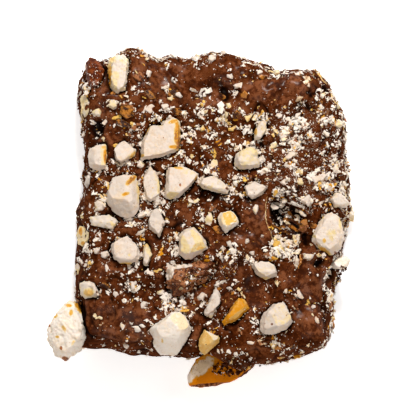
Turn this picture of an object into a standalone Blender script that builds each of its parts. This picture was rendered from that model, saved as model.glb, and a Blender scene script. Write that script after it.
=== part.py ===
"""Almond butter crunch toffee: a chocolate-coated slab studded with chopped almonds.

Run it with: blender --background --python part.py
The slab lies flat on z = 0, its long side along Y. Sizes below are in millimetres, heights are measured
from the table, and MM turns them into Blender's metres.
"""

import math
import random
from typing import NamedTuple

import bmesh
import bpy
from mathutils import Matrix, Vector, noise

MM = 0.001

# Slab
SLAB_HEIGHT = 12.5
GRID_HALF_X = 26.0
GRID_HALF_Y = 29.5
GRID_STEPS_X = 32
GRID_STEPS_Y = 36
SIDE_RINGS = 8

# The foot of the slab seen from above, anticlockwise from the right-hand side.
OUTLINE = (
    (27.8, 4.8),
    (27.5, 10.8),
    (26.6, 18.4),
    (24.8, 22.4),
    (21.4, 27.0),
    (17.8, 27.4),
    (13.4, 27.2),
    (10.2, 28.6),
    (4.8, 29.8),
    (-0.4, 30.9),
    (-4.6, 29.6),
    (-8.2, 30.3),
    (-11.4, 29.2),
    (-16.0, 31.4),
    (-19.6, 29.6),
    (-23.4, 28.6),
    (-25.8, 26.0),
    (-26.7, 21.8),
    (-26.2, 17.0),
    (-25.5, 10.8),
    (-25.5, 4.0),
    (-26.8, -0.6),
    (-27.0, -7.6),
    (-27.1, -15.2),
    (-26.9, -21.4),
    (-25.2, -27.4),
    (-19.6, -29.2),
    (-12.2, -30.2),
    (-3.4, -30.9),
    (7.8, -31.3),
    (14.8, -31.3),
    (19.0, -30.4),
    (22.8, -27.8),
    (24.5, -23.0),
    (24.8, -18.0),
    (25.8, -13.0),
    (26.8, -7.2),
    (27.6, -0.2),
)

# The side of the slab as (inset from the foot, height), from the flat top down to the table.
SIDE_PROFILE = (
    (5.0, SLAB_HEIGHT),
    (3.3, 12.25),
    (2.0, 11.3),
    (1.3, 9.7),
    (0.8, 7.2),
    (0.3, 4.8),
    (0.0, 2.7),
    (0.25, 1.0),
    (1.2, 0.0),
)
RIGHT_SLANT = 0.75
PROFILE_STEP = 0.05

# Rolling relief of the coating as (wavelength, height, shift of the pattern). It fades out above the foot.
SWELLS = ((12.0, 0.9, 3.7), (5.2, 0.62, 11.3), (3.0, 0.36, 23.9))
RELIEF_FADE = 2.5

# Bumps and hollows of the coating as (x, y, z, radius, height). Each ends at BUMP_REACH times its radius.
BUMP_REACH = 2.2
BUMPS = (
    (10.8, 21.8, 12.5, 2.8, 0.8),
    (16.6, 23.0, 12.5, 4.2, 0.9),
    (-11.5, 20.8, 12.5, 3.6, 0.7),
    (-15.8, 16.0, 12.5, 2.2, 1.0),
    (3.4, 27.4, 12.0, 3.6, 0.8),
    (7.6, -7.4, 12.5, 4.6, 0.7),
    (3.4, -12.8, 12.5, 2.6, 1.5),
    (9.6, -18.0, 12.5, 4.0, 0.7),
    (19.8, -14.4, 12.5, 3.8, 0.9),
    (20.6, -25.4, 11.5, 3.0, 0.8),
    (-20.4, -20.6, 12.5, 5.0, 0.6),
    (-21.6, -13.6, 12.5, 2.2, 0.9),
    (4.6, 17.8, 12.5, 2.0, 0.8),
    (5.4, -30.4, 8.6, 3.6, 2.4),
    (26.4, -14.2, 7.0, 1.5, 1.9),
    (26.9, -5.6, 8.0, 1.6, 1.0),
    (-26.6, -24.4, 5.0, 3.4, 2.0),
    (-25.2, -27.6, 5.0, 2.6, 1.2),
    (11.6, -4.6, 12.5, 1.5, 0.7),
    (13.0, -9.6, 12.5, 1.7, 0.8),
    (15.2, -2.4, 12.2, 2.7, -3.4),
    (17.8, -5.2, 12.0, 2.7, -3.2),
    (13.4, -0.2, 12.4, 2.0, -1.8),
    (15.6, -8.2, 12.2, 2.0, -1.9),
    (21.2, -12.2, 12.2, 1.6, -1.8),
    (23.5, -14.6, 9.5, 1.7, -2.0),
    (-22.8, 14.8, 12.0, 2.4, -1.8),
    (2.6, 21.8, 12.5, 2.4, -1.4),
    (-11.0, -17.6, 12.5, 3.0, -1.2),
    (26.2, 10.0, 7.6, 1.6, -1.8),
    (25.4, 4.0, 9.2, 1.5, -1.4),
    (20.6, 25.4, 8.0, 1.6, -1.8),
    (23.0, 22.8, 8.0, 1.4, -1.4),
)

# Chopped almonds: the gap round each in its socket, how deep it sits, where its widest line is as a share
# of its rise, and how unevenly it is cut.
SOCKET_GAP = 0.33
CHUNK_SINK = 2.4
GIRDLE_SHARE = 0.15
CROWN_TILT = 0.07
CROWN_WIDTHS = (0.96, 1.04)
CROWN_RISES = (0.93, 1.03)


class Chunk(NamedTuple):
    """One chopped almond: its edge seen from above, and how the knife left its crown.

    Without a seat it sits at the height of the coating. The root is its hidden lower end.
    """

    name: str
    rise: float
    crown_shift: tuple
    crown_scale: float
    edge: tuple
    seat: float | None = None
    lean: tuple = (0.0, 0.0)
    sink: float = CHUNK_SINK
    root_scale: float = 0.72
    root_shift: tuple = (0.0, 0.0)


CHUNKS = (
    Chunk("almond_chunk_crown", 2.3, (0.2, 0.2), 0.86, (
        (-12.4, 15.0), (-9.0, 15.6), (-7.2, 16.8), (-6.2, 16.0), (-6.0, 12.8),
        (-6.4, 10.2), (-10.2, 8.8), (-14.0, 8.2), (-14.0, 11.2),
    )),
    Chunk("almond_chunk_left_high", 2.2, (0.5, 0.1), 0.66, (
        (-24.2, 10.8), (-22.8, 11.4), (-20.8, 11.6), (-20.6, 9.2),
        (-20.8, 6.8), (-22.4, 6.2), (-24.0, 6.8), (-24.6, 8.8),
    ), lean=(0.22, 0.0)),
    Chunk("almond_chunk_small_left", 1.9, (0.0, 0.1), 0.84, (
        (-19.4, 10.4), (-18.2, 11.8), (-17.2, 12.2), (-14.8, 10.4), (-15.0, 9.2), (-18.0, 7.6), (-19.0, 8.4),
    )),
    Chunk("almond_chunk_upright", 1.8, (0.0, 0.0), 0.84, (
        (-12.2, 7.0), (-10.8, 6.0), (-10.0, 3.4), (-10.2, 1.4),
        (-12.0, 0.0), (-12.8, 0.6), (-13.5, 3.2), (-13.5, 5.2),
    )),
    Chunk("almond_chunk_middle", 2.3, (0.2, 0.4), 0.8, (
        (-8.8, 6.8), (-5.6, 7.2), (-2.4, 5.6), (-3.0, 4.4),
        (-4.4, 2.6), (-6.2, 1.0), (-8.0, 0.4), (-9.4, 0.8),
    )),
    Chunk("almond_chunk_great_left", 3.3, (-0.6, 1.5), 0.6, (
        (-19.6, 4.6), (-17.4, 5.4), (-14.8, 5.2), (-14.15, 2.0), (-14.2, -1.6),
        (-15.2, -3.0), (-17.2, -3.2), (-19.4, -2.0), (-20.8, -0.2), (-20.6, 1.6),
    )),
    Chunk("almond_sliver_middle", 1.9, (0.0, 0.15), 0.8, (
        (-2.6, 3.4), (-2.0, 4.6), (0.2, 5.2), (2.2, 4.2), (3.6, 2.8), (3.4, 1.4), (1.0, 2.0), (-1.6, 2.6),
    )),
    Chunk("almond_sliver_left", 1.5, (0.0, 0.0), 0.86, (
        (-24.0, -2.9), (-22.2, -2.6), (-20.4, -2.4), (-19.2, -3.0), (-18.4, -3.8),
        (-19.4, -5.4), (-21.2, -5.0), (-23.8, -4.6),
    )),
    Chunk("almond_chunk_left_edge", 1.1, (0.3, 0.0), 0.7, (
        (-26.2, -4.4), (-25.1, -4.7), (-23.9, -6.0), (-24.2, -7.4),
        (-25.4, -8.8), (-26.5, -8.2), (-26.9, -6.4),
    ), seat=9.4, lean=(1.0, 0.0), sink=1.9),
    Chunk("almond_chunk_six_sided", 2.3, (0.0, 0.3), 0.82, (
        (-19.8, -8.4), (-18.2, -7.2), (-16.6, -6.6), (-15.2, -8.0), (-14.2, -9.0), (-14.1, -10.8),
        (-14.5, -11.8), (-16.0, -12.4), (-18.0, -12.2), (-19.2, -11.4), (-19.8, -9.6),
    )),
    Chunk("almond_chunk_beside", 1.2, (0.1, 0.2), 0.78, (
        (-13.4, -9.2), (-12.8, -8.0), (-12.2, -9.0), (-11.6, -10.4), (-12.2, -11.8), (-12.8, -12.8),
        (-13.5, -12.2),
    )),
    Chunk("almond_chunk_kite", 1.8, (0.0, 0.3), 0.78, (
        (-11.8, -1.8), (-10.6, -1.0), (-9.8, -2.4), (-9.2, -4.0),
        (-9.6, -5.4), (-10.2, -7.2), (-12.4, -5.0), (-12.4, -3.4),
    )),
    Chunk("almond_chunk_golden", 2.7, (-0.2, 0.2), 0.66, (
        (-6.4, -6.6), (-5.4, -5.4), (-3.4, -4.8), (-2.6, -5.8), (-1.0, -7.4),
        (-0.6, -9.2), (-3.0, -10.2), (-4.0, -11.4), (-5.2, -11.4), (-6.4, -10.4),
    )),
    Chunk("almond_chunk_golden_small", 1.8, (0.1, 0.3), 0.66, (
        (1.3, -3.2), (2.0, -2.0), (4.0, -1.6), (5.4, -3.0), (5.6, -4.2), (2.8, -6.2), (1.7, -4.6),
    )),
    Chunk("almond_chunk_round", 2.0, (-0.2, -0.1), 0.78, (
        (6.6, 3.2), (8.6, 4.2), (11.4, 3.0), (10.0, 1.4), (8.2, 0.6), (7.0, 1.6),
    )),
    Chunk("almond_chunk_crowned", 2.2, (0.1, 0.3), 0.66, (
        (4.8, 9.6), (6.2, 10.6), (8.2, 11.2), (9.4, 10.0), (9.6, 8.0),
        (9.8, 7.0), (8.2, 6.6), (5.4, 6.4), (4.6, 7.2), (4.6, 8.6),
    )),
    Chunk("almond_chunk_slim", 1.4, (0.1, 0.1), 0.72, (
        (8.6, 14.2), (9.8, 16.4), (11.0, 15.8), (11.0, 14.2), (9.8, 12.4), (8.6, 12.2),
    )),
    Chunk("almond_chunk_lens", 2.3, (0.1, 0.4), 0.82, (
        (7.8, -12.4), (9.4, -12.0), (11.4, -12.0), (12.8, -12.8), (13.2, -14.6), (10.8, -15.4), (9.0, -14.4),
    )),
    Chunk("almond_chunk_block", 3.1, (0.5, 0.7), 0.74, (
        (9.6, -23.6), (10.4, -22.0), (12.2, -20.2), (14.4, -19.8), (15.2, -21.8),
        (16.2, -23.8), (15.0, -25.2), (12.6, -26.2), (10.4, -26.2), (9.6, -25.4),
    )),
    Chunk("almond_prism_golden", 1.9, (0.2, 0.3), 0.62, (
        (5.4, -18.8), (6.6, -19.2), (7.8, -21.0), (4.8, -23.6), (2.6, -24.6), (2.0, -23.8), (4.2, -21.2),
    )),
    Chunk("almond_wedge_golden", 2.4, (0.3, 0.7), 0.58, (
        (-1.4, -25.2), (1.8, -26.8), (1.6, -27.8), (-1.4, -30.4), (-2.6, -28.6), (-2.2, -26.8),
    ), lean=(0.0, 0.3)),
    Chunk("almond_chunk_front", 3.6, (0.5, 1.0), 0.62, (
        (-12.4, -25.2), (-10.4, -23.8), (-7.8, -21.8), (-6.2, -21.6), (-5.0, -22.8), (-3.8, -24.8),
        (-4.0, -26.0), (-6.2, -29.0), (-6.8, -30.4), (-10.0, -30.2), (-11.4, -28.6), (-12.0, -26.8),
    ), seat=11.2, lean=(0.0, 0.28), sink=3.6),
    Chunk("almond_flake_upright", 1.8, (0.0, 0.0), 0.84, (
        (1.0, -16.4), (1.6, -17.6), (2.0, -20.0), (0.4, -21.8), (-0.8, -22.6), (-1.4, -22.2), (-0.2, -19.4),
    )),
    Chunk("almond_coated", 3.0, (0.0, 0.3), 0.6, (
        (-9.4, -13.0), (-5.2, -12.5), (-1.4, -11.7), (0.6, -12.0), (1.0, -13.2),
        (-1.0, -15.6), (-4.2, -17.8), (-6.6, -18.6), (-8.6, -17.2), (-9.2, -15.2),
    )),
    Chunk("almond_chunk_corner", 2.6, (-0.3, -0.2), 0.66, (
        (-28.4, -19.2), (-27.0, -19.8), (-25.8, -21.8), (-24.8, -23.6), (-24.8, -26.6), (-25.8, -28.0),
        (-27.2, -28.6), (-29.0, -31.6), (-31.0, -30.4), (-32.8, -27.2), (-32.6, -24.4), (-31.0, -21.8),
    ), seat=7.6, lean=(0.16, 0.1), sink=4.4, root_shift=(3.4, 1.0)),
    Chunk("almond_half", 1.2, (-0.3, 0.4), 0.86, (
        (-3.0, -31.0), (-0.4, -29.8), (4.0, -29.6), (7.8, -30.4), (9.4, -31.4), (8.4, -32.8),
        (6.8, -34.2), (4.2, -35.5), (0.8, -36.5), (-2.2, -36.8), (-4.6, -36.4), (-4.9, -34.4),
    ), seat=5.7, lean=(0.05, 0.12), sink=4.2, root_scale=0.5, root_shift=(0.0, 2.6)),
    Chunk("almond_chunk_right", 2.8, (-0.1, 0.0), 0.66, (
        (22.2, -2.6), (23.8, -1.8), (25.4, -2.6), (26.3, -4.8), (26.5, -7.2), (26.0, -9.0),
        (24.8, -10.2), (23.6, -10.6), (21.4, -9.4), (20.0, -7.8), (20.0, -6.6), (21.0, -4.8),
    ), seat=10.6, lean=(-0.3, 0.0), sink=4.0, root_shift=(-1.0, 0.0)),
    Chunk("almond_chunk_right_high", 1.7, (-0.1, 0.2), 0.76, (
        (23.6, 0.6), (24.8, 2.2), (26.6, 1.5), (27.8, 0.0), (26.9, -0.9), (24.6, -1.0),
    ), seat=9.4, lean=(-0.5, 0.0), sink=2.6, root_shift=(-0.8, 0.0)),
    Chunk("almond_chunk_right_low", 1.8, (-0.1, 0.0), 0.72, (
        (23.8, -11.8), (24.8, -11.2), (26.0, -10.6), (27.2, -10.4), (27.9, -11.2),
        (27.6, -12.4), (26.6, -13.3), (25.4, -13.2), (24.4, -12.7),
    ), seat=8.0, lean=(-0.3, 0.0), sink=2.6, root_shift=(-1.8, 0.0)),
    Chunk("almond_chunk_top_left", 2.6, (0.2, -0.2), 0.72, (
        (-19.4, 29.4), (-17.4, 29.6), (-16.3, 28.4), (-16.6, 26.8), (-16.6, 24.2), (-17.2, 22.4),
        (-18.4, 21.4), (-19.6, 22.0), (-20.5, 23.8), (-20.5, 26.8), (-20.4, 28.4),
    ), seat=11.6, lean=(0.1, -0.2), sink=3.2),
    Chunk("almond_skinned_corner", 1.9, (0.1, -0.3), 0.7, (
        (-25.2, 27.6), (-24.4, 28.8), (-23.0, 28.8), (-22.0, 27.8), (-21.1, 26.6),
        (-21.3, 24.8), (-22.6, 22.6), (-24.0, 22.2), (-24.8, 24.8),
    ), seat=10.6, lean=(0.2, -0.25), sink=2.8),
    Chunk("almond_sliver_left_high", 0.9, (0.2, 0.0), 0.72, (
        (-26.0, 21.4), (-24.8, 21.5), (-24.0, 19.2), (-24.4, 17.4), (-25.2, 16.8), (-26.0, 18.4),
    ), seat=10.3, lean=(0.8, 0.0), sink=1.8),
    Chunk("almond_chunk_hollow_left", 1.8, (0.2, 0.3), 0.64, (
        (-26.2, -16.0), (-24.4, -15.2), (-23.0, -16.0), (-22.2, -17.8), (-22.6, -19.0), (-25.0, -19.2),
        (-26.0, -18.2),
    ), seat=11.0, lean=(0.35, 0.0), sink=2.4),
)

# Small chips that stay fused to the coating where the piece has them: (x, y, length, width, turn in degrees).
CHIPS = (
    (-22.0, -0.6, 3.1, 2.8, 100),
    (-0.4, -3.4, 3.2, 1.8, 80),
    (27.8, -2.2, 3.0, 2.6, 10),
    (-22.6, 18.0, 2.4, 2.2, 20),
    (-19.5, 19.4, 2.8, 2.6, 60),
    (-16.4, 18.4, 3.4, 3.0, -20),
    (-23.8, 4.3, 3.6, 2.2, 70),
    (-26.4, -13.0, 3.0, 1.8, 75),
    (0.6, 7.6, 2.4, 2.0, 60),
    (-2.0, -18.6, 2.4, 2.2, 30),
    (-3.4, 22.0, 2.8, 1.2, -32),
    (19.0, 0.4, 2.8, 2.4, 80),
    (21.4, 4.6, 4.6, 2.4, 18),
    (19.3, -10.4, 3.0, 2.2, 10),
    (18.4, -4.9, 2.8, 2.4, 0),
    (17.0, -2.9, 2.8, 1.5, -35),
    (17.0, -7.3, 2.6, 2.0, -40),
    (13.9, -8.4, 2.6, 1.5, -40),
    (17.0, -12.0, 2.6, 1.2, 80),
    (17.2, 17.2, 2.0, 1.2, 75),
    (13.4, 17.2, 2.4, 1.3, -15),
    (15.8, 9.2, 3.4, 1.8, 28),
    (4.8, 4.9, 1.9, 1.3, 10),
    (14.4, 4.0, 1.9, 1.6, -40),
    (8.7, -1.6, 2.9, 1.5, 80),
    (3.6, -8.5, 1.8, 1.6, 60),
    (-12.2, 18.6, 3.0, 2.1, 0),
    (-9.2, 18.9, 2.0, 1.8, 50),
    (-11.8, -13.9, 2.4, 1.3, -10),
    (-22.6, -9.6, 1.7, 1.4, 80),
    (-21.1, -10.4, 2.2, 1.6, 70),
    (-17.6, -14.4, 1.5, 1.2, 80),
    (-13.4, -20.3, 2.7, 1.5, 60),
    (-5.4, -20.2, 1.7, 1.2, 20),
    (17.4, -18.2, 2.8, 1.4, -60),
    (14.8, -17.6, 1.5, 1.2, 50),
    (20.2, -20.6, 1.4, 1.1, 40),
    (7.8, -27.6, 2.2, 1.1, 0),
    (7.3, 16.6, 2.4, 1.5, 50),
    (12.4, 11.2, 2.2, 1.5, 35),
    (5.8, 23.2, 3.0, 1.3, 15),
    (25.4, 15.6, 2.5, 2.1, 30),
    (25.0, 6.8, 2.7, 1.9, 80),
    (17.6, 4.2, 2.1, 1.6, -60),
    (14.6, 0.4, 1.8, 1.5, -50),
    (-3.7, 0.4, 3.2, 1.5, 0),
    (-13.6, -2.5, 2.2, 1.6, 15),
    (13.6, -30.4, 2.2, 1.3, 20),
    (17.3, -30.2, 2.4, 1.6, 10),
    (23.7, -22.8, 2.6, 1.4, 80),
)

# Chips strewn between them by a seeded rule: how many, the share that lies on the top, their lengths, how
# slim they are, and how close to the foot, to the chopped almonds (as a share of their reach) and to each
# other they lie.
NUT_CLEARANCE = 0.8
SCATTERED_CHIPS = 50
SCATTER_SEED = 27
TOP_SHARE = 0.62
CHIP_LENGTHS = (1.3, 2.3)
CHIP_SLIMNESS = (0.55, 0.85)
CHIP_LOW_EDGE = 1.6
CHIP_CLEARANCE = 1.2

# A chip's form: corners at each level, and its levels as (height as a share of its own, width of the level).
CHIP_CORNERS = 5
CHIP_HEIGHT_SHARE = 0.55
CHIP_LEVELS = ((-0.2, 1.0), (0.6, 0.66))

COLOURS = {
    "coating": (0.115, 0.042, 0.02),
    "almond": (0.78, 0.62, 0.46),
    "golden": (0.68, 0.36, 0.09),
    "skin": (0.17, 0.055, 0.02),
}
GOLDEN_NAMES = ("almond_prism_golden", "almond_wedge_golden", "almond_half")
SKIN_NAMES = ("almond_skinned_corner", "almond_coated")


def cubic(before, start, end, after, part):
    """A smooth value between start and end, leaning on the values before and after them."""
    slope_start = (end - before) / 2
    slope_end = (after - start) / 2
    square = part * part
    cube = square * part
    return (
        (2 * cube - 3 * square + 1) * start
        + (cube - 2 * square + part) * slope_start
        + (3 * square - 2 * cube) * end
        + (cube - square) * slope_end
    )


OUTLINE_POLAR = sorted((math.atan2(y, x), math.hypot(x, y)) for x, y in OUTLINE)


def foot_radius(angle):
    """Distance from the slab's middle to its foot in this direction."""
    angle = (angle + math.pi) % math.tau - math.pi
    count = len(OUTLINE_POLAR)
    after = next((i for i, (a, _) in enumerate(OUTLINE_POLAR) if a > angle), 0)
    start_angle = OUTLINE_POLAR[after - 1][0]
    span = (OUTLINE_POLAR[after][0] - start_angle) % math.tau
    part = ((angle - start_angle) % math.tau) / span
    radii = [OUTLINE_POLAR[(after + k) % count][1] for k in (-2, -1, 0, 1)]
    return cubic(*radii, part)


def slant(angle):
    """How much further in the top of the side starts: the right-hand side slopes most."""
    return 1.0 + RIGHT_SLANT * max(0.0, math.cos(angle)) ** 2


def side_at(step):
    """(inset, height) of the side profile, step 0 at the flat top and counting the profile's points."""
    last = len(SIDE_PROFILE) - 1
    step = min(max(step, 0.0), last)
    index = min(int(step), last - 1)
    rows = [SIDE_PROFILE[min(max(index + k, 0), last)] for k in (-1, 0, 1, 2)]
    return tuple(cubic(*(row[axis] for row in rows), step - index) for axis in (0, 1))


def slab_base(angle, section):
    """A point of the slab without its relief, and the way out of it. Section runs 0 to 1 over the top,
    and from 1 down the side profile."""
    outward = Vector((math.cos(angle), math.sin(angle), 0.0))
    radius = foot_radius(angle)
    spread = slant(angle)
    if section <= 1.0:
        return outward * section * (radius - spread * SIDE_PROFILE[0][0]) + Vector(
            (0.0, 0.0, SLAB_HEIGHT)
        ), Vector((0.0, 0.0, 1.0))
    inset, height = side_at(section - 1.0)
    inset_low, height_low = side_at(section - 1.0 + PROFILE_STEP)
    inset_high, height_high = side_at(section - 1.0 - PROFILE_STEP)
    run = spread * (inset_high - inset_low)
    normal = outward * (height_high - height_low) + Vector((0.0, 0.0, run))
    point = outward * (radius - spread * inset)
    point.z = height
    return point, normal.normalized()


def relief(point):
    """How far the coating stands out from the plain slab at this point."""
    height = 0.0
    for wavelength, size, shift in SWELLS:
        height += size * noise.noise(point / wavelength + Vector((shift, shift, shift)))
    for x, y, z, radius, size in BUMPS:
        away = (point - Vector((x, y, z))).length / radius
        if away < BUMP_REACH:
            height += size * math.exp(-away * away)
    return height


def slab_point(angle, section):
    """A point of the finished coating and the way out of it. The foot itself stays flat on the table."""
    point, normal = slab_base(angle, section)
    fade = min(1.0, max(0.0, point.z / RELIEF_FADE))
    point += normal * relief(point) * fade
    point.z = max(point.z, 0.0)
    return point, normal


def section_over(x, y):
    """(angle, section) of the coating straight above or below a point of the plan."""
    angle = math.atan2(y, x)
    away = math.hypot(x, y)
    radius = foot_radius(angle)
    spread = slant(angle)
    flat = radius - spread * SIDE_PROFILE[0][0]
    if away <= flat:
        return angle, away / flat
    step = 0.0
    while SIDE_PROFILE[int(step)][0] > 0.0 and radius - spread * side_at(step)[0] < away:
        step += PROFILE_STEP
    return angle, 1.0 + step


def new_object(name, mesh_builder, collection):
    """An object of this name, from a bmesh in millimetres."""
    mesh = bpy.data.meshes.new(name)
    bmesh.ops.recalc_face_normals(mesh_builder, faces=mesh_builder.faces)
    bmesh.ops.scale(mesh_builder, vec=(MM, MM, MM), verts=mesh_builder.verts)
    mesh_builder.to_mesh(mesh)
    mesh_builder.free()
    made = bpy.data.objects.new(name, mesh)
    collection.objects.link(made)
    return made


def material(name, colour, roughness):
    """A plain finish with the part's colour."""
    made = bpy.data.materials.new(name)
    made.use_nodes = True
    shader = made.node_tree.nodes["Principled BSDF"]
    shader.inputs["Base Color"].default_value = (*colour, 1.0)
    shader.inputs["Roughness"].default_value = roughness
    shader.inputs["Metallic"].default_value = 0.0
    return made


def slab_builder():
    """The coated slab: a grid for the top, its rim run down the side in rings, and a flat foot."""
    slab = bmesh.new()
    angles = slab.verts.layers.float.new("angle")
    sections = slab.verts.layers.float.new("section")
    bmesh.ops.create_grid(slab, x_segments=GRID_STEPS_X, y_segments=GRID_STEPS_Y, size=1.0)
    for vert in slab.verts:
        vert[angles] = math.atan2(vert.co.y * GRID_HALF_Y, vert.co.x * GRID_HALF_X)
        vert[sections] = max(abs(vert.co.x), abs(vert.co.y))
    profile_length = len(SIDE_PROFILE) - 1
    for ring in range(SIDE_RINGS):
        rim = [edge for edge in slab.edges if edge.is_boundary]
        grown = bmesh.ops.extrude_edge_only(slab, edges=rim)
        for vert in (item for item in grown["geom"] if isinstance(item, bmesh.types.BMVert)):
            vert[sections] = 1.0 + profile_length * (ring + 1) / SIDE_RINGS
    for vert in slab.verts:
        vert.co = slab_point(vert[angles], vert[sections])[0]
    bmesh.ops.holes_fill(slab, edges=[edge for edge in slab.edges if edge.is_boundary], sides=0)
    bmesh.ops.triangulate(slab, faces=[face for face in slab.faces if len(face.verts) > 4])
    return slab


def hull(points):
    """A closed body with flat facets round these points."""
    body = bmesh.new()
    for point in points:
        body.verts.new(point)
    result = bmesh.ops.convex_hull(body, input=body.verts)
    inner = [item for item in result["geom_interior"] if isinstance(item, bmesh.types.BMVert)]
    bmesh.ops.delete(body, geom=inner, context="VERTS")
    return body


def middle_of(edge):
    """The mean of the corners of a plan outline."""
    return Vector((sum(x for x, _ in edge) / len(edge), sum(y for _, y in edge) / len(edge), 0.0))


def chunk_points(chunk, order):
    """Corner points of one chopped almond: a root in the coating, a girdle at it, and a cut crown."""
    draw = random.Random(100 + order)
    middle = middle_of(chunk.edge)
    seat = chunk.seat
    if seat is None:
        seat = slab_point(*section_over(middle.x, middle.y))[0].z
    crown_middle = middle + Vector((*chunk.crown_shift, 0.0))
    root_middle = middle + Vector((*chunk.root_shift, 0.0))
    tilt = (draw.uniform(-CROWN_TILT, CROWN_TILT), draw.uniform(-CROWN_TILT, CROWN_TILT))
    points = []
    for x, y in chunk.edge:
        away = Vector((x, y, 0.0)) - middle
        slope = chunk.lean[0] * away.x + chunk.lean[1] * away.y
        crown_slope = slope + tilt[0] * away.x + tilt[1] * away.y
        root = root_middle + away * chunk.root_scale
        crown = crown_middle + away * chunk.crown_scale * draw.uniform(*CROWN_WIDTHS)
        crown_height = seat + crown_slope + chunk.rise * draw.uniform(*CROWN_RISES)
        points.append(Vector((root.x, root.y, seat + slope - chunk.sink)))
        points.append(Vector((x, y, seat + slope + chunk.rise * GIRDLE_SHARE)))
        points.append(Vector((crown.x, crown.y, crown_height)))
    return points


def grown(body, gap):
    """The same body with every facet moved out by about this gap, for cutting a socket."""
    socket = body.copy()
    socket.normal_update()
    moves = {vert: vert.normal * gap * vert.calc_shell_factor() for vert in socket.verts}
    for vert, move in moves.items():
        vert.co += move
    return socket


def chip_points(centre, normal, length, width, turn, draw):
    """Corner points of a small chip lying on the coating, half sunk in it."""
    height = CHIP_HEIGHT_SHARE * width
    tilt = Vector((0.0, 0.0, 1.0)).rotation_difference(normal).to_matrix().to_4x4()
    place = Matrix.Translation(centre) @ tilt @ Matrix.Rotation(math.radians(turn), 4, "Z")
    points = []
    for level, scale in CHIP_LEVELS:
        for corner in range(CHIP_CORNERS):
            angle = math.tau * (corner + draw.uniform(-0.28, 0.28)) / CHIP_CORNERS
            reach = scale * draw.uniform(0.82, 1.12)
            points.append(place @ Vector((
                math.cos(angle) * reach * length / 2,
                math.sin(angle) * reach * width / 2,
                level * height * draw.uniform(0.85, 1.15),
            )))
    return points


def nut_reaches():
    """The middle and the reach of every chopped almond seen from above."""
    found = []
    for order, chunk in enumerate(CHUNKS):
        points = chunk_points(chunk, order)
        low = Vector((min(point.x for point in points), min(point.y for point in points)))
        high = Vector((max(point.x for point in points), max(point.y for point in points)))
        found.append(((low + high) / 2, (high - low).length / 2))
    return found


def scattered_chips():
    """Chips strewn over the top and the sides by a seeded rule, as (centre, normal, length, width, turn)."""
    draw = random.Random(SCATTER_SEED)
    nuts = nut_reaches()
    found = []
    while len(found) < SCATTERED_CHIPS:
        angle = draw.uniform(-math.pi, math.pi)
        on_top = draw.random() < TOP_SHARE
        section = math.sqrt(draw.random()) if on_top else draw.uniform(1.0, len(SIDE_PROFILE) - 3.0)
        length = draw.uniform(*CHIP_LENGTHS)
        width = length * draw.uniform(*CHIP_SLIMNESS)
        turn = draw.uniform(0.0, 360.0)
        centre, normal = slab_point(angle, section)
        if centre.z < CHIP_LOW_EDGE or crowded(centre, found, length, nuts):
            continue
        found.append((centre, normal, length, width, turn))
    return found


def crowded(centre, found, length, nuts):
    """Whether a chip here would lie on a placed chip, on a chopped almond or on an earlier chip."""
    for x, y, other, _, _ in CHIPS:
        if math.hypot(centre.x - x, centre.y - y) < (length + other) / 2 + SOCKET_GAP:
            return True
    for middle, reach in nuts:
        if (centre.xy - middle).length < NUT_CLEARANCE * reach + length / 2:
            return True
    return any((centre - other).length < length + CHIP_CLEARANCE for other, *_ in found)


def fused_chips(collection):
    """Every small chip as its own closed body, ready for the union with the slab."""
    draw = random.Random(SCATTER_SEED + 1)
    places = [(*slab_point(*section_over(x, y)), length, width, turn) for x, y, length, width, turn in CHIPS]
    for order, (centre, normal, length, width, turn) in enumerate(places + scattered_chips()):
        chip = hull(chip_points(centre, normal, length, width, turn, draw))
        new_object(f"chip_{order:03d}", chip, collection)


def boolean(target, operation, collection, solver):
    """Joins or cuts target with everything in the collection, and makes the result its mesh."""
    modifier = target.modifiers.new(operation.lower(), "BOOLEAN")
    modifier.operation = operation
    modifier.operand_type = "COLLECTION"
    modifier.collection = collection
    modifier.solver = solver
    graph = bpy.context.evaluated_depsgraph_get()
    mesh = bpy.data.meshes.new_from_object(target.evaluated_get(graph))
    target.modifiers.remove(modifier)
    target.data = mesh


def drop_scraps(target):
    """Keeps the largest connected body of the mesh, and leaves loose scraps out."""
    body = bmesh.new()
    body.from_mesh(target.data)
    unseen = set(body.verts)
    largest = set()
    while unseen:
        island = set()
        edge_of_island = [next(iter(unseen))]
        while edge_of_island:
            vert = edge_of_island.pop()
            if vert in island:
                continue
            island.add(vert)
            edge_of_island.extend(edge.other_vert(vert) for edge in vert.link_edges)
        unseen -= island
        largest = max(largest, island, key=len)
    bmesh.ops.delete(body, geom=[vert for vert in body.verts if vert not in largest], context="VERTS")
    body.to_mesh(target.data)
    body.free()


def clear(collection):
    """Removes a helper collection and its objects."""
    for helper in list(collection.objects):
        bpy.data.objects.remove(helper)
    bpy.data.collections.remove(collection)


def finish_for(name, finishes):
    """The finish that a chopped almond shows most of."""
    if name in GOLDEN_NAMES:
        return finishes["golden"]
    if name in SKIN_NAMES:
        return finishes["skin"]
    return finishes["almond"]


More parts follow.
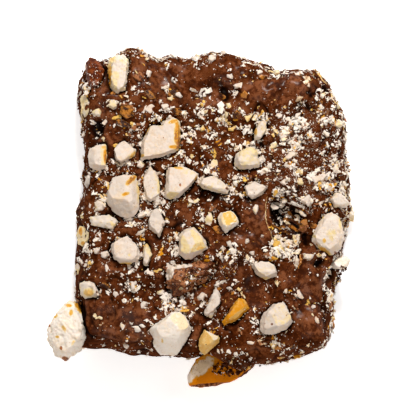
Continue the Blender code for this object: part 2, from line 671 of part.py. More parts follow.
def main():
    """Builds the slab with its fused chips, and the chopped almonds in their sockets."""
    for old in list(bpy.data.objects):
        bpy.data.objects.remove(old)
    parts = bpy.data.collections.new("almond_butter_crunch_toffee")
    chips = bpy.data.collections.new("chips")
    sockets = bpy.data.collections.new("sockets")
    for collection in (parts, chips, sockets):
        bpy.context.scene.collection.children.link(collection)
    finishes = {name: material(name, colour, 0.5) for name, colour in COLOURS.items()}

    slab = new_object("toffee_slab", slab_builder(), parts)
    fused_chips(chips)
    boolean(slab, "UNION", chips, "MANIFOLD")
    for order, chunk in enumerate(CHUNKS):
        body = hull(chunk_points(chunk, order))
        new_object(f"socket_{order:02d}", grown(body, SOCKET_GAP), sockets)
        almond = new_object(chunk.name, body, parts)
        almond.data.materials.append(finish_for(chunk.name, finishes))
    boolean(slab, "DIFFERENCE", sockets, "MANIFOLD")
    drop_scraps(slab)
    slab.data.materials.clear()
    slab.data.materials.append(finishes["coating"])
    clear(chips)
    clear(sockets)


main()
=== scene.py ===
"""Looks of a piece of almond butter crunch toffee.

A rough slab under milk to dark chocolate, studded with chopped roasted almonds and strewn with almond meal.
The slab's form repeats the values and the rules of the model that it dresses. Sizes here are millimetres, and
MM turns them into Blender's metres when a mesh is made.
"""

import logging
import math
import random
from dataclasses import dataclass, field
from enum import Enum
from typing import Iterable, NamedTuple

import bmesh
import bpy
import numpy as np
from mathutils import Matrix, Vector, noise
from mathutils.bvhtree import BVHTree
from mathutils.geometry import convex_hull_2d


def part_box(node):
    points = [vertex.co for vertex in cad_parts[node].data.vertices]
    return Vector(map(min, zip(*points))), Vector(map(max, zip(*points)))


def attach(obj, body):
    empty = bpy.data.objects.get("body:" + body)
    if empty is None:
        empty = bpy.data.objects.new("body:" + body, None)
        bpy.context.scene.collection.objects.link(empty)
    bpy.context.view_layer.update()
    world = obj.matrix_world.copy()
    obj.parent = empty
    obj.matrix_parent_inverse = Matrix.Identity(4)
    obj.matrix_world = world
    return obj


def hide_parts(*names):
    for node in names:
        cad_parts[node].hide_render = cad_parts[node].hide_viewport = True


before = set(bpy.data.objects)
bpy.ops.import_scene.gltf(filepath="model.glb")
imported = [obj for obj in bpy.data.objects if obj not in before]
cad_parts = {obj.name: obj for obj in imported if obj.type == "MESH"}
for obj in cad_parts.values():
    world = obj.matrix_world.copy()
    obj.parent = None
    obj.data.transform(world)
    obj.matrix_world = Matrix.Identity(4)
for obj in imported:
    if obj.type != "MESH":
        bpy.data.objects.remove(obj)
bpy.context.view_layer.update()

MM = 0.001
BODY = "root"
SLAB_NODE = "toffee_slab"
LOG = logging.getLogger("toffee")

Colour = tuple[float, float, float]
Range = tuple[float, float]
Waves = tuple[tuple[float, float, float], ...]
Piece = bpy.types.Object
Socket = bpy.types.NodeSocket
Array = np.ndarray
Chances = np.random.Generator


class Slot(Enum):
    """The record's material slots."""

    CHOCOLATE = "chocolate_coating"
    ALMOND = "roasted_almond"
    GOLDEN = "golden_almond"
    SKIN = "almond_skin"


class Look(Enum):
    """The looks of almond that the finishes give."""

    PLAIN = "almond"
    PALE = "pale_almond"
    AMBER = "amber_almond"
    SKINNED = "skinned_almond"


class Tone(Enum):
    """What a patch of almond turns towards. The value is its channel in the tone attribute."""

    GOLDEN = 0
    SKIN = 1
    # GREY is partly painted shade, on facets that face away from the key lamp.
    GREY = 2
    CREAM = 3


# The form of the slab, as in the model.


class Bump(NamedTuple):
    """A bump or a hollow of the coating, at a point near its surface."""

    x: float
    y: float
    z: float
    radius: float
    height: float


class Chip(NamedTuple):
    """A small almond chip lying on the coating, with the part of it that is golden, brown or grey."""

    x: float
    y: float
    length: float
    width: float
    turn: float
    golden: float = 0.0
    skin: float = 0.0
    grey: float = 0.0


OUTLINE = (
    (27.8, 4.8), (27.5, 10.8), (26.6, 18.4), (24.8, 22.4), (21.4, 27.0), (17.8, 27.4), (13.4, 27.2),
    (10.2, 28.6), (4.8, 29.8), (-0.4, 30.9), (-4.6, 29.6), (-8.2, 30.3), (-11.4, 29.2), (-16.0, 31.4),
    (-19.6, 29.6), (-23.4, 28.6), (-25.8, 26.0), (-26.7, 21.8), (-26.2, 17.0), (-25.5, 10.8), (-25.5, 4.0),
    (-26.8, -0.6), (-27.0, -7.6), (-27.1, -15.2), (-26.9, -21.4), (-25.2, -27.4), (-19.6, -29.2),
    (-12.2, -30.2), (-3.4, -30.9), (7.8, -31.3), (14.8, -31.3), (19.0, -30.4), (22.8, -27.8), (24.5, -23.0),
    (24.8, -18.0), (25.8, -13.0), (26.8, -7.2), (27.6, -0.2),
)
SLAB_HEIGHT = 12.5
SIDE_PROFILE = (
    (5.0, SLAB_HEIGHT), (3.3, 12.25), (2.0, 11.3), (1.3, 9.7), (0.8, 7.2), (0.3, 4.8), (0.0, 2.7),
    (0.25, 1.0), (1.2, 0.0),
)
# Waves of the surface: the wavelength and the size of each, and what moves its pattern.
SWELLS = ((12.0, 0.9, 3.7), (5.2, 0.62, 11.3), (3.0, 0.36, 23.9))
RIPPLES = ((3.1, 0.34, 7.0), (1.7, 0.15, 13.0))
SCUFFS = ((0.95, 0.19, 17.0), (0.55, 0.13, 27.0))
BUMPS = tuple(Bump(*row) for row in (
    (10.8, 21.8, 12.5, 2.8, 0.8), (16.6, 23.0, 12.5, 4.2, 0.9), (-11.5, 20.8, 12.5, 3.6, 0.7),
    (-15.8, 16.0, 12.5, 2.2, 1.0), (3.4, 27.4, 12.0, 3.6, 0.8), (7.6, -7.4, 12.5, 4.6, 0.7),
    (3.4, -12.8, 12.5, 2.6, 1.5), (9.6, -18.0, 12.5, 4.0, 0.7), (19.8, -14.4, 12.5, 3.8, 0.9),
    (20.6, -25.4, 11.5, 3.0, 0.8), (-20.4, -20.6, 12.5, 5.0, 0.6), (-21.6, -13.6, 12.5, 2.2, 0.9),
    (4.6, 17.8, 12.5, 2.0, 0.8), (5.4, -30.4, 8.6, 3.6, 2.4), (26.4, -14.2, 7.0, 1.5, 1.9),
    (26.9, -5.6, 8.0, 1.6, 1.0), (-26.6, -24.4, 5.0, 3.4, 2.0), (-25.2, -27.6, 5.0, 2.6, 1.2),
    (11.6, -4.6, 12.5, 1.5, 0.7), (13.0, -9.6, 12.5, 1.7, 0.8), (15.2, -2.4, 12.2, 2.7, -3.4),
    (17.8, -5.2, 12.0, 2.7, -3.2), (13.4, -0.2, 12.4, 2.0, -1.8), (15.6, -8.2, 12.2, 2.0, -1.9),
    (21.2, -12.2, 12.2, 1.6, -1.8), (23.5, -14.6, 9.5, 1.7, -2.0), (-22.8, 14.8, 12.0, 2.4, -1.8),
    (2.6, 21.8, 12.5, 2.4, -1.4), (-11.0, -17.6, 12.5, 3.0, -1.2), (26.2, 10.0, 7.6, 1.6, -1.8),
    (25.4, 4.0, 9.2, 1.5, -1.4), (20.6, 25.4, 8.0, 1.6, -1.8), (23.0, 22.8, 8.0, 1.4, -1.4),
))

CHIPS = tuple(Chip(*row) for row in (
    (-22.0, -0.6, 3.1, 2.8, 100, 0.3), (-0.4, -3.4, 3.2, 1.8, 80, 0.35),
    (27.8, -2.2, 3.0, 2.6, 10, 0.3, 0.3), (-22.6, 18.0, 2.4, 2.2, 20, 0.25, 0.0, 0.5),
    (-19.5, 19.4, 2.8, 2.6, 60, 0.15, 0.0, 0.5), (-16.4, 18.4, 3.4, 3.0, -20, 0.75, 0.62),
    (-23.8, 4.3, 3.6, 2.2, 70, 0.0, 0.0, 0.9), (-26.4, -13.0, 3.0, 1.8, 75, 0.3),
    (0.6, 7.6, 2.4, 2.0, 60, 0.2), (-2.0, -18.6, 2.4, 2.2, 30, 0.0, 0.0, 0.2),
    (-3.4, 22.0, 2.8, 1.2, -32, 0.0, 0.0, 0.4), (19.0, 0.4, 2.8, 2.4, 80), (21.4, 4.6, 4.6, 2.4, 18),
    (19.3, -10.4, 3.0, 2.2, 10, 0.12), (18.4, -4.9, 2.8, 2.4, 0, 0.9, 0.62),
    (17.0, -2.9, 2.8, 1.5, -35, 0.1, 0.0, 0.3), (17.0, -7.3, 2.6, 2.0, -40, 0.22, 0.0, 0.3),
    (13.9, -8.4, 2.6, 1.5, -40, 0.16), (17.0, -12.0, 2.6, 1.2, 80), (17.2, 17.2, 2.0, 1.2, 75, 0.08),
    (13.4, 17.2, 2.4, 1.3, -15, 0.12), (15.8, 9.2, 3.4, 1.8, 28, 0.0, 0.0, 0.1),
    (4.8, 4.9, 1.9, 1.3, 10, 0.1), (14.4, 4.0, 1.9, 1.6, -40), (8.7, -1.6, 2.9, 1.5, 80, 0.14),
    (3.6, -8.5, 1.8, 1.6, 60, 0.0, 0.0, 0.9), (-12.2, 18.6, 3.0, 2.1, 0), (-9.2, 18.9, 2.0, 1.8, 50),
    (-11.8, -13.9, 2.4, 1.3, -10, 0.06), (-22.6, -9.6, 1.7, 1.4, 80, 0.0, 0.0, 0.3),
    (-21.1, -10.4, 2.2, 1.6, 70, 0.0, 0.0, 0.5), (-17.6, -14.4, 1.5, 1.2, 80, 0.0, 0.0, 0.2),
    (-13.4, -20.3, 2.7, 1.5, 60, 0.0, 0.0, 0.5), (-5.4, -20.2, 1.7, 1.2, 20), (17.4, -18.2, 2.8, 1.4, -60),
    (14.8, -17.6, 1.5, 1.2, 50, 0.08), (20.2, -20.6, 1.4, 1.1, 40, 0.0, 0.0, 0.3),
    (7.8, -27.6, 2.2, 1.1, 0), (7.3, 16.6, 2.4, 1.5, 50, 0.75), (12.4, 11.2, 2.2, 1.5, 35, 0.3),
    (5.8, 23.2, 3.0, 1.3, 15), (25.4, 15.6, 2.5, 2.1, 30, 0.15, 0.0, 0.3), (25.0, 6.8, 2.7, 1.9, 80, 0.1),
    (17.6, 4.2, 2.1, 1.6, -60, 0.5), (14.6, 0.4, 1.8, 1.5, -50, 0.2, 0.0, 0.3),
    (-3.7, 0.4, 3.2, 1.5, 0, 0.3), (-13.6, -2.5, 2.2, 1.6, 15, 0.06), (13.6, -30.4, 2.2, 1.3, 20, 0.9),
    (17.3, -30.2, 2.4, 1.6, 10, 0.9), (23.7, -22.8, 2.6, 1.4, 80, 0.8, 0.3),
))
FLAKES = tuple(Chip(*row) for row in (
    (-9.4, 28.7, 5.2, 1.1, -6, 0.1), (-12.8, 28.3, 2.2, 0.9, 5, 0.3), (-5.4, 28.1, 2.4, 0.8, -4, 0.12),
    (8.6, 16.8, 2.0, 0.9, 55, 0.85), (12.2, 25.9, 2.6, 0.9, -4, 0.6), (14.6, 8.4, 1.3, 1.0, 40, 0.6),
    (-14.4, 24.8, 2.2, 2.6, 70, 0.1, 0.7), (0.8, 25.6, 1.6, 0.8, -10, 0.1),
    (4.0, 24.8, 2.6, 0.9, -12, 0.0, 0.0, 0.3), (-1.2, 19.6, 2.4, 0.8, 50, 0.0, 0.0, 0.3),
    (22.0, 21.0, 1.6, 1.3, 60, 0.2), (10.2, 5.8, 1.8, 1.1, 20, 0.0, 0.0, 0.3),
    (21.6, 0.0, 1.6, 1.3, 40, 0.0, 0.0, 0.4), (8.2, -10.0, 1.6, 1.3, 30, 0.0, 0.0, 0.6),
    (28.0, -0.9, 1.8, 1.4, 70, 0.3, 0.2),
))


def cubic(before: float, start: float, end: float, after: float, part: float) -> float:
    """A smooth value between start and end, leaning on the values before and after them.

    Args:
        before: The value before start.
        start: The value at part 0.
        end: The value at part 1.
        after: The value after end.
        part: How far along, 0 to 1.

    Returns:
        The value there.
    """
    slope_start = (end - before) / 2
    slope_end = (after - start) / 2
    square = part * part
    cube = square * part
    return (
        (2 * cube - 3 * square + 1) * start
        + (cube - 2 * square + part) * slope_start
        + (3 * square - 2 * cube) * end
        + (cube - square) * slope_end
    )


def noise_at(points: Array, wavelength: float, shift: float = 0.0) -> Array:
    """Smooth noise at many points.

    Args:
        points: Points in millimetres, one a row.
        wavelength: Size of its waves in millimetres.
        shift: Moves the pattern, so that two layers differ.

    Returns:
        One value a point, roughly -1 to 1.
    """
    return np.array([noise.noise(Vector(row)) for row in points / wavelength + shift])


def rolling(points: Array, waves: Waves, shift: float = 0.0) -> Array:
    """Smooth noise of several sizes, laid over each other.

    Args:
        points: Points in millimetres, one a row.
        waves: Wavelength, size and shift of each.
        shift: Moves all of them.

    Returns:
        One height a point.
    """
    return sum(size * noise_at(points, wavelength, shift + own) for wavelength, size, own in waves)


def grains_at(points: Array, wavelength: float, shift: float = 0.0) -> Array:
    """Rounded grains packed side by side.

    Args:
        points: Points in millimetres, one a row.
        wavelength: Size of a grain in millimetres.
        shift: Moves the pattern.

    Returns:
        One value a point: about 0.5 in the middle of a grain, and below 0 in the creases between them.
    """
    return np.array([0.5 - noise.voronoi(Vector(row))[0][0] for row in points / wavelength + shift])


def smooth_step(values: Array, low: float, high: float) -> Array:
    """Values run smoothly from 0 at low to 1 at high."""
    part = np.clip((values - low) / (high - low), 0.0, 1.0)
    return part * part * (3 - 2 * part)


@dataclass
class SlabForm:
    """The plain form of the slab: its foot, its side profile, and the rolling relief of its coating."""

    height: float = SLAB_HEIGHT
    right_slant: float = 0.75
    profile_step: float = 0.05
    relief_fade: float = 2.5
    bump_reach: float = 2.2
    polar: list[tuple[float, float]] = field(
        default_factory=lambda: sorted((math.atan2(y, x), math.hypot(x, y)) for x, y in OUTLINE)
    )

    def foot_radius(self, angle: float) -> float:
        """Distance from the slab's middle to its foot.

        Args:
            angle: Direction in the plan, in radians.

        Returns:
            The distance in millimetres.
        """
        angle = (angle + math.pi) % math.tau - math.pi
        count = len(self.polar)
        after = next((i for i, (a, _) in enumerate(self.polar) if a > angle), 0)
        start_angle = self.polar[after - 1][0]
        span = (self.polar[after][0] - start_angle) % math.tau
        part = ((angle - start_angle) % math.tau) / span
        radii = [self.polar[(after + k) % count][1] for k in (-2, -1, 0, 1)]
        return cubic(*radii, part)

    def slant(self, angle: float) -> float:
        """How much further in the top of the side starts: the right-hand side slopes most."""
        return 1.0 + self.right_slant * max(0.0, math.cos(angle)) ** 2

    def side_at(self, step: float) -> tuple[float, ...]:
        """A point of the side profile.

        Args:
            step: 0 at the flat top, counting the profile's points.

        Returns:
            Inset from the foot, and height.
        """
        last = len(SIDE_PROFILE) - 1
        step = min(max(step, 0.0), last)
        index = min(int(step), last - 1)
        rows = [SIDE_PROFILE[min(max(index + k, 0), last)] for k in (-1, 0, 1, 2)]
        return tuple(cubic(*(row[axis] for row in rows), step - index) for axis in (0, 1))

    def base(self, angle: float, section: float) -> tuple[Vector, Vector]:
        """A point of the slab without its relief.

        Args:
            angle: Direction in the plan.
            section: 0 to 1 over the top, and from 1 down the side profile.

        Returns:
            The point, and the way out of it.
        """
        outward = Vector((math.cos(angle), math.sin(angle), 0.0))
        radius = self.foot_radius(angle)
        spread = self.slant(angle)
        if section <= 1.0:
            top = outward * section * (radius - spread * SIDE_PROFILE[0][0])
            top.z = self.height
            return top, Vector((0.0, 0.0, 1.0))
        inset, height = self.side_at(section - 1.0)
        inset_low, height_low = self.side_at(section - 1.0 + self.profile_step)
        inset_high, height_high = self.side_at(section - 1.0 - self.profile_step)
        run = spread * (inset_high - inset_low)
        normal = outward * (height_high - height_low) + Vector((0.0, 0.0, run))
        point = outward * (radius - spread * inset)
        point.z = height
        return point, normal.normalized()

    def relief(self, points: Array) -> Array:
        """How far the coating stands out from the plain slab.

        Args:
            points: Points of the plain slab, one a row.

        Returns:
            One height a point.
        """
        height = rolling(points, SWELLS)
        for bump in BUMPS:
            away = np.linalg.norm(points - np.array(bump[:3]), axis=1) / bump.radius
            height += np.where(away < self.bump_reach, bump.height * np.exp(-away * away), 0.0)
        return height

    def fade(self, points: Array) -> Array:
        """How much of the relief shows: it dies out above the foot, which stays flat on the table."""
        return np.clip(points[:, 2] / self.relief_fade, 0.0, 1.0)

    def points(self, places: Iterable[tuple[float, float]]) -> tuple[Array, Array]:
        """Points of the finished coating.

        Args:
            places: Angle and section of each.

        Returns:
            The points and the ways out of them, one a row.
        """
        plain = [self.base(angle, section) for angle, section in places]
        points = np.array([tuple(point) for point, _ in plain])
        normals = np.array([tuple(normal) for _, normal in plain])
        points += normals * (self.relief(points) * self.fade(points))[:, None]
        points[:, 2] = np.maximum(points[:, 2], 0.0)
        return points, normals

    def point(self, angle: float, section: float) -> tuple[Vector, Vector]:
        """One point of the finished coating and the way out of it."""
        points, normals = self.points([(angle, section)])
        return Vector(points[0]), Vector(normals[0])

    def over(self, x: float, y: float) -> tuple[float, float]:
        """Where the coating is straight above or below a point of the plan.

        Args:
            x: To the right, in millimetres.
            y: To the back, in millimetres.

        Returns:
            Angle and section.
        """
        angle = math.atan2(y, x)
        away = math.hypot(x, y)
        radius = self.foot_radius(angle)
        spread = self.slant(angle)
        flat = radius - spread * SIDE_PROFILE[0][0]
        if away <= flat:
            return angle, away / flat
        step = 0.0
        while SIDE_PROFILE[int(step)][0] > 0.0 and radius - spread * self.side_at(step)[0] < away:
            step += self.profile_step
        return angle, 1.0 + step


class Pit(NamedTuple):
    """A steep hole in the coating: its middle, its half sizes and how it is turned, and its depth."""

    x: float
    y: float
    z: float
    half_x: float
    half_y: float
    turn: float
    depth: float


PITS = tuple(Pit(*row) for row in (
    (12.8, -2.6, 9.5, 1.4, 3.6, 8.0, 2.1), (16.4, -2.0, 9.5, 1.9, 1.3, -30.0, 0.9),
    (18.8, -7.6, 10.5, 0.8, 1.8, 15.0, 1.2), (20.7, 26.1, 8.6, 0.8, 1.5, 20.0, 1.3),
    (22.9, 23.3, 8.4, 1.0, 0.9, -30.0, 1.3), (26.3, 10.1, 7.8, 0.9, 1.3, 0.0, 1.4),
    (25.6, 4.2, 9.4, 1.3, 1.0, -30.0, 1.1), (21.4, -12.2, 11.6, 1.3, 0.9, 30.0, 1.1),
    (24.2, -14.0, 8.6, 1.0, 1.6, 0.0, 1.1), (-22.6, 14.6, 11.6, 1.6, 2.2, 0.0, 0.8),
    (2.7, 21.4, 12.2, 1.2, 1.8, 20.0, 0.7), (-24.4, 22.4, 10.6, 0.9, 0.7, 0.0, 0.8),
    (19.2, 21.8, 11.6, 0.9, 0.5, 0.0, 0.6),
))


# Where crumbs and meal lie.


class Patch(NamedTuple):
    """An oval of the top with its own share of meal, from 0, bare, to 1, thickly strewn."""

    x: float
    y: float
    half_x: float
    half_y: float
    share: float


@dataclass
class Strewing:
    """How thickly almond meal lies, over the top by patches and on each side."""

    plain: float = 0.2
    plain_weight: float = 0.12
    left: float = 0.2
    right: float = 0.8
    back: float = 0.35
    front: float = 0.14
    patches: tuple[Patch, ...] = tuple(Patch(*row) for row in (
        (19.0, 10.0, 8.5, 9.0, 1.2), (11.3, 26.4, 10.5, 1.8, 0.5), (4.0, 9.6, 7.0, 7.5, 0.62),
        (-17.2, 4.6, 7.0, 3.2, 0.6), (-5.7, -1.2, 6.5, 3.0, 0.55), (-20.2, -9.7, 5.0, 2.8, 0.7),
        (-8.2, -9.7, 2.2, 2.8, 0.85), (9.3, -10.6, 6.5, 1.6, 0.85), (-12.7, -17.0, 8.5, 3.6, 0.45),
        (-17.2, -24.0, 6.0, 5.0, 0.12), (20.3, -21.7, 2.6, 6.5, 0.15), (23.6, -21.2, 1.4, 5.5, 0.6),
        (9.3, -28.0, 8.5, 2.6, 0.24), (-9.2, 24.6, 7.0, 4.0, 0.18), (14.3, 22.4, 5.6, 2.4, 0.06),
        (8.6, -6.7, 3.0, 2.6, 0.08), (18.6, -14.8, 4.0, 2.6, 0.08), (10.0, -17.6, 4.0, 2.4, 0.2),
        (-13.0, -2.6, 2.6, 2.0, 0.7), (-11.0, 16.4, 6.0, 2.0, 0.6), (-19.0, -15.0, 4.0, 1.6, 0.4),
    ))

    def share(self, points: Array, normals: Array) -> Array:
        """The share of meal.

        Args:
            points: Points of the coating, one a row.
            normals: Ways out of them.

        Returns:
            One share a point, 0 to 1.
        """
        weights = np.full(len(points), self.plain_weight)
        total = weights * self.plain
        for patch in self.patches:
            x = (points[:, 0] - patch.x) / patch.half_x
            y = (points[:, 1] - patch.y) / patch.half_y
            weight = np.exp(-((x * x + y * y) ** 2))
            weights = weights + weight
            total = total + weight * patch.share
        top = total / weights
        side = (
            np.clip(-normals[:, 0], 0, 1) ** 2 * self.left
            + np.clip(normals[:, 0], 0, 1) ** 2 * self.right
            + np.clip(normals[:, 1], 0, 1) ** 2 * self.back
            + np.clip(-normals[:, 1], 0, 1) ** 2 * self.front
        )
        up = smooth_step(normals[:, 2], 0.25, 0.8)
        return top * up + side * (1 - up)


# Shader nodes.


class Wiring:
    """Adds shader nodes to one tree and joins them."""

    def __init__(self, tree: bpy.types.NodeTree) -> None:
        """Keeps the tree that the nodes go in."""
        self.tree = tree

    def feed(self, target: Socket, value: object) -> None:
        """Joins a socket to an input, or sets the input's value.

        Args:
            target: The input.
            value: A socket, a number or a colour.
        """
        if isinstance(value, bpy.types.NodeSocket):
            self.tree.links.new(value, target)
        elif isinstance(value, tuple) and len(value) == 3 and target.type == "RGBA":
            target.default_value = (*value, 1.0)
        else:
            target.default_value = value

    def feed_all(self, node: bpy.types.Node, **inputs: object) -> None:
        """Feeds inputs of a node by name, with spaces as underscores."""
        for name, value in inputs.items():
            self.feed(node.inputs[name.replace("_", " ")], value)

    def node(self, kind: str, settings: dict | None = None, **inputs: object) -> bpy.types.Node:
        """One node.

        Args:
            kind: Blender's name of the node's type, without ShaderNode.
            settings: Its properties.
            **inputs: What feeds its inputs, by name.

        Returns:
            The node.
        """
        made = self.tree.nodes.new("ShaderNode" + kind)
        for name, value in (settings or {}).items():
            setattr(made, name, value)
        self.feed_all(made, **inputs)
        return made

    def channels(self, name: str) -> list[Socket]:
        """The three values of a colour that is stored in the mesh."""
        colour = self.node("Attribute", {"attribute_name": name}).outputs["Color"]
        return list(self.node("SeparateColor", Color=colour).outputs)

    def effect(self, group: bpy.types.NodeTree, **inputs: object) -> list[Socket]:
        """The results of a shared effect, with these values."""
        return list(self.node("Group", {"node_tree": group}, **inputs).outputs)

    def math(self, operation: str, first: object, second: object = 0.0) -> Socket:
        """The result of one sum.

        Args:
            operation: Blender's name of the sum.
            first: A socket or a number.
            second: Another.

        Returns:
            The result.
        """
        made = self.node("Math", {"operation": operation})
        self.feed(made.inputs[0], first)
        self.feed(made.inputs[1], second)
        return made.outputs[0]

    def spread(self, value: Socket, low: float, high: float, start: float = 0.0, end: float = 1.0) -> Socket:
        """Runs a value smoothly from one number to another.

        Args:
            value: The value.
            low: Where it starts to run.
            high: Where it stops.
            start: What it gives up to low.
            end: What it gives from high on.

        Returns:
            The result.
        """
        made = self.node(
            "MapRange", {"interpolation_type": "SMOOTHSTEP"},
            Value=value, From_Min=low, From_Max=high, To_Min=start, To_Max=end,
        )
        return made.outputs["Result"]

    def blend(self, factor: object, first: object, second: object) -> Socket:
        """A colour between two colours.

        Args:
            factor: 0 for the first to 1 for the second.
            first: A colour.
            second: Another.

        Returns:
            The colour.
        """
        made = self.node("Mix", {"data_type": "RGBA"})
        for index, value in zip((0, 6, 7), (factor, first, second)):
            self.feed(made.inputs[index], value)
        return made.outputs[2]

    def uneven(self, value: Socket, tint: Socket, much: float) -> Socket:
        """A value that this much of a tint makes uneven."""
        return self.math("ADD", value, self.math("MULTIPLY", self.math("SUBTRACT", tint, 0.5), much))

    def noise(self, scale: Socket, detail: float, roughness: float = 0.5) -> Socket:
        """Noise over the piece, with this many waves a metre."""
        place = self.node("TexCoord").outputs["Object"]
        made = self.node("TexNoise", Vector=place, Scale=scale, Detail=detail, Roughness=roughness)
        return made.outputs["Fac"]

    def relief(self, height: Socket, strength: float, depth: float) -> Socket:
        """The ways out of a finely uneven surface, with its depth in millimetres."""
        return self.node("Bump", Height=height, Strength=strength, Distance=depth * MM).outputs[0]


class EffectGroups:
    """The effects that several finishes share, each a node group that is made once."""

    def __init__(self) -> None:
        """Makes the groups."""
        self.speckle = self.make_speckle()
        self.mottle = self.make_mottle()

    @staticmethod
    def new_tree(name: str, inputs: dict[str, float], outputs: dict[str, str]) -> tuple[Wiring, dict, dict]:
        """An empty group.

        Args:
            name: The group's name.
            inputs: Its number inputs, with what they are at first.
            outputs: Its outputs and their kinds.

        Returns:
            The wiring of its tree, its inputs inside, and the sockets that its results go to.
        """
        tree = bpy.data.node_groups.new(name, "ShaderNodeTree")
        for title, value in inputs.items():
            socket = tree.interface.new_socket(title, in_out="INPUT", socket_type="NodeSocketFloat")
            socket.default_value = value
        for title, kind in outputs.items():
            tree.interface.new_socket(title, in_out="OUTPUT", socket_type=kind)
        wiring = Wiring(tree)
        start = wiring.tree.nodes.new("NodeGroupInput")
        end = wiring.tree.nodes.new("NodeGroupOutput")
        return wiring, start.outputs, end.inputs

    def make_speckle(self) -> bpy.types.NodeTree:
        """Fine specks, such as dust or pores: how many there are comes from Amount.

        Returns:
            The group.
        """
        wiring, given, result = self.new_tree(
            "fine_speckle", {"Amount": 0.3, "Grain": 1.0}, {"Mask": "NodeSocketFloat"}
        )
        fine = wiring.noise(wiring.math("DIVIDE", 5.5 / MM, given["Grain"]), 2.5, 0.65)
        broad = wiring.noise(wiring.math("DIVIDE", 1.1 / MM, given["Grain"]), 2.0)
        amount = wiring.math("MULTIPLY", given["Amount"], wiring.spread(broad, 0.35, 0.65, 0.45, 1.25))
        edge = wiring.math("SUBTRACT", 0.78, wiring.math("MULTIPLY", amount, 0.42))
        over = wiring.math("MULTIPLY", wiring.math("SUBTRACT", fine, edge), 14.0)
        wiring.feed(result["Mask"], wiring.node("Clamp", Value=over).outputs[0])
        return wiring.tree

    def make_mottle(self) -> bpy.types.NodeTree:
        """Uneven tint at three sizes, from 0 to 1, with a finer one for the surface's height.

        Returns:
            The group.
        """
        wiring, given, result = self.new_tree(
            "mottle", {"Grain": 1.0}, {"Tint": "NodeSocketFloat", "Height": "NodeSocketFloat"}
        )
        broad, middle, fine = (
            wiring.noise(wiring.math("DIVIDE", frequency / MM, given["Grain"]), detail, 0.6)
            for frequency, detail in ((0.32, 2.0), (1.3, 3.0), (5.0, 3.0))
        )
        total = wiring.math("ADD", wiring.math("ADD", broad, middle), wiring.math("MULTIPLY", fine, 0.7))
        wiring.feed(result["Tint"], wiring.spread(total, 1.05, 1.65))
        wiring.feed(result["Height"], wiring.math("ADD", wiring.math("MULTIPLY", middle, 0.6), fine))
        return wiring.tree


def new_material(name: str) -> tuple[bpy.types.Material, Wiring, bpy.types.Node]:
    """An empty material.

    Args:
        name: Its name.

    Returns:
        The material, the wiring of its tree, and its shader.
    """
    made = bpy.data.materials.new(name)
    made.use_nodes = True
    wiring = Wiring(made.node_tree)
    return made, wiring, made.node_tree.nodes["Principled BSDF"]


@dataclass(frozen=True)
class ChocolateFinish:
    """Milk to dark chocolate: satin where it flowed, dull where it is scuffed, with meal in its pores,
    painted shade in its hollows and a milky painted sheen on its smooth upward swells.
    """

    groups: EffectGroups
    name: str = "chocolate"
    dark: Colour = (0.039, 0.0076, 0.0014)
    middle: Colour = (0.092, 0.0205, 0.0040)
    # Painted sheen: a lighter milky colour on the smooth, upward-facing swells, partly the chocolate's own
    # lighter tone.
    milky_sheen: Colour = (0.225, 0.073, 0.027)
    # Painted shade: the near-black colour of creases, pits and the pocket floor.
    hollow_shade: Colour = (0.006, 0.0016, 0.0006)
    meal: Colour = (0.70, 0.53, 0.39)
    dust: Range = (0.02, 0.46)
    roughness: Range = (0.66, 0.22)
    coat: Range = (0.02, 0.21)
    coat_roughness: float = 0.28
    relief_strength: float = 0.75
    relief_depth: float = 0.2

    def make(self) -> bpy.types.Material:
        """Wires the material, which takes the painted hollow shade, the meal and the sheen from the piece's
        state.

        Returns:
            The material.
        """
        made, wiring, shader = new_material(self.name)
        hollow_shade_share, dusting, sheen = wiring.channels("state")
        tint, unevenness = wiring.effect(self.groups.mottle, Grain=1.0)
        brown = wiring.blend(wiring.spread(tint, -0.1, 0.6), self.dark, self.middle)
        # Painted sheen: smooth, upward-facing parts turn towards the lighter milky colour.
        flowed = wiring.spread(sheen, 0.0, 1.0, 0.25, 0.9)
        painted_sheen = wiring.math("MULTIPLY", wiring.spread(tint, 0.35, 1.0), flowed)
        brown = wiring.blend(painted_sheen, brown, self.milky_sheen)
        # Painted shade: the hollows turn towards a near-black colour.
        brown = wiring.blend(hollow_shade_share, brown, self.hollow_shade)
        amount = wiring.spread(dusting, 0.1, 1.1, *self.dust)
        dust = wiring.effect(self.groups.speckle, Amount=amount, Grain=0.8)[0]
        dust = wiring.math("MULTIPLY", dust, wiring.spread(hollow_shade_share, 0.5, 1.0, 1.0, 0.25))
        smoothness = wiring.math("SUBTRACT", sheen, wiring.math("MULTIPLY", tint, 0.3))
        rough = wiring.spread(smoothness, -0.3, 1.0, *self.roughness)
        height = wiring.math("ADD", unevenness, wiring.math("MULTIPLY", dust, 0.7))
        height = wiring.math("MULTIPLY", height, wiring.spread(sheen, 0.0, 1.0, 1.0, 0.35))
        wiring.feed_all(
            shader,
            Base_Color=wiring.blend(dust, brown, self.meal),
            Roughness=wiring.math("MAXIMUM", rough, dust),
            Normal=wiring.relief(height, self.relief_strength, self.relief_depth),
            Coat_Weight=wiring.spread(sheen, 0.3, 1.0, *self.coat),
            Coat_Roughness=self.coat_roughness,
            Specular_IOR_Level=0.0,
        )
        return made


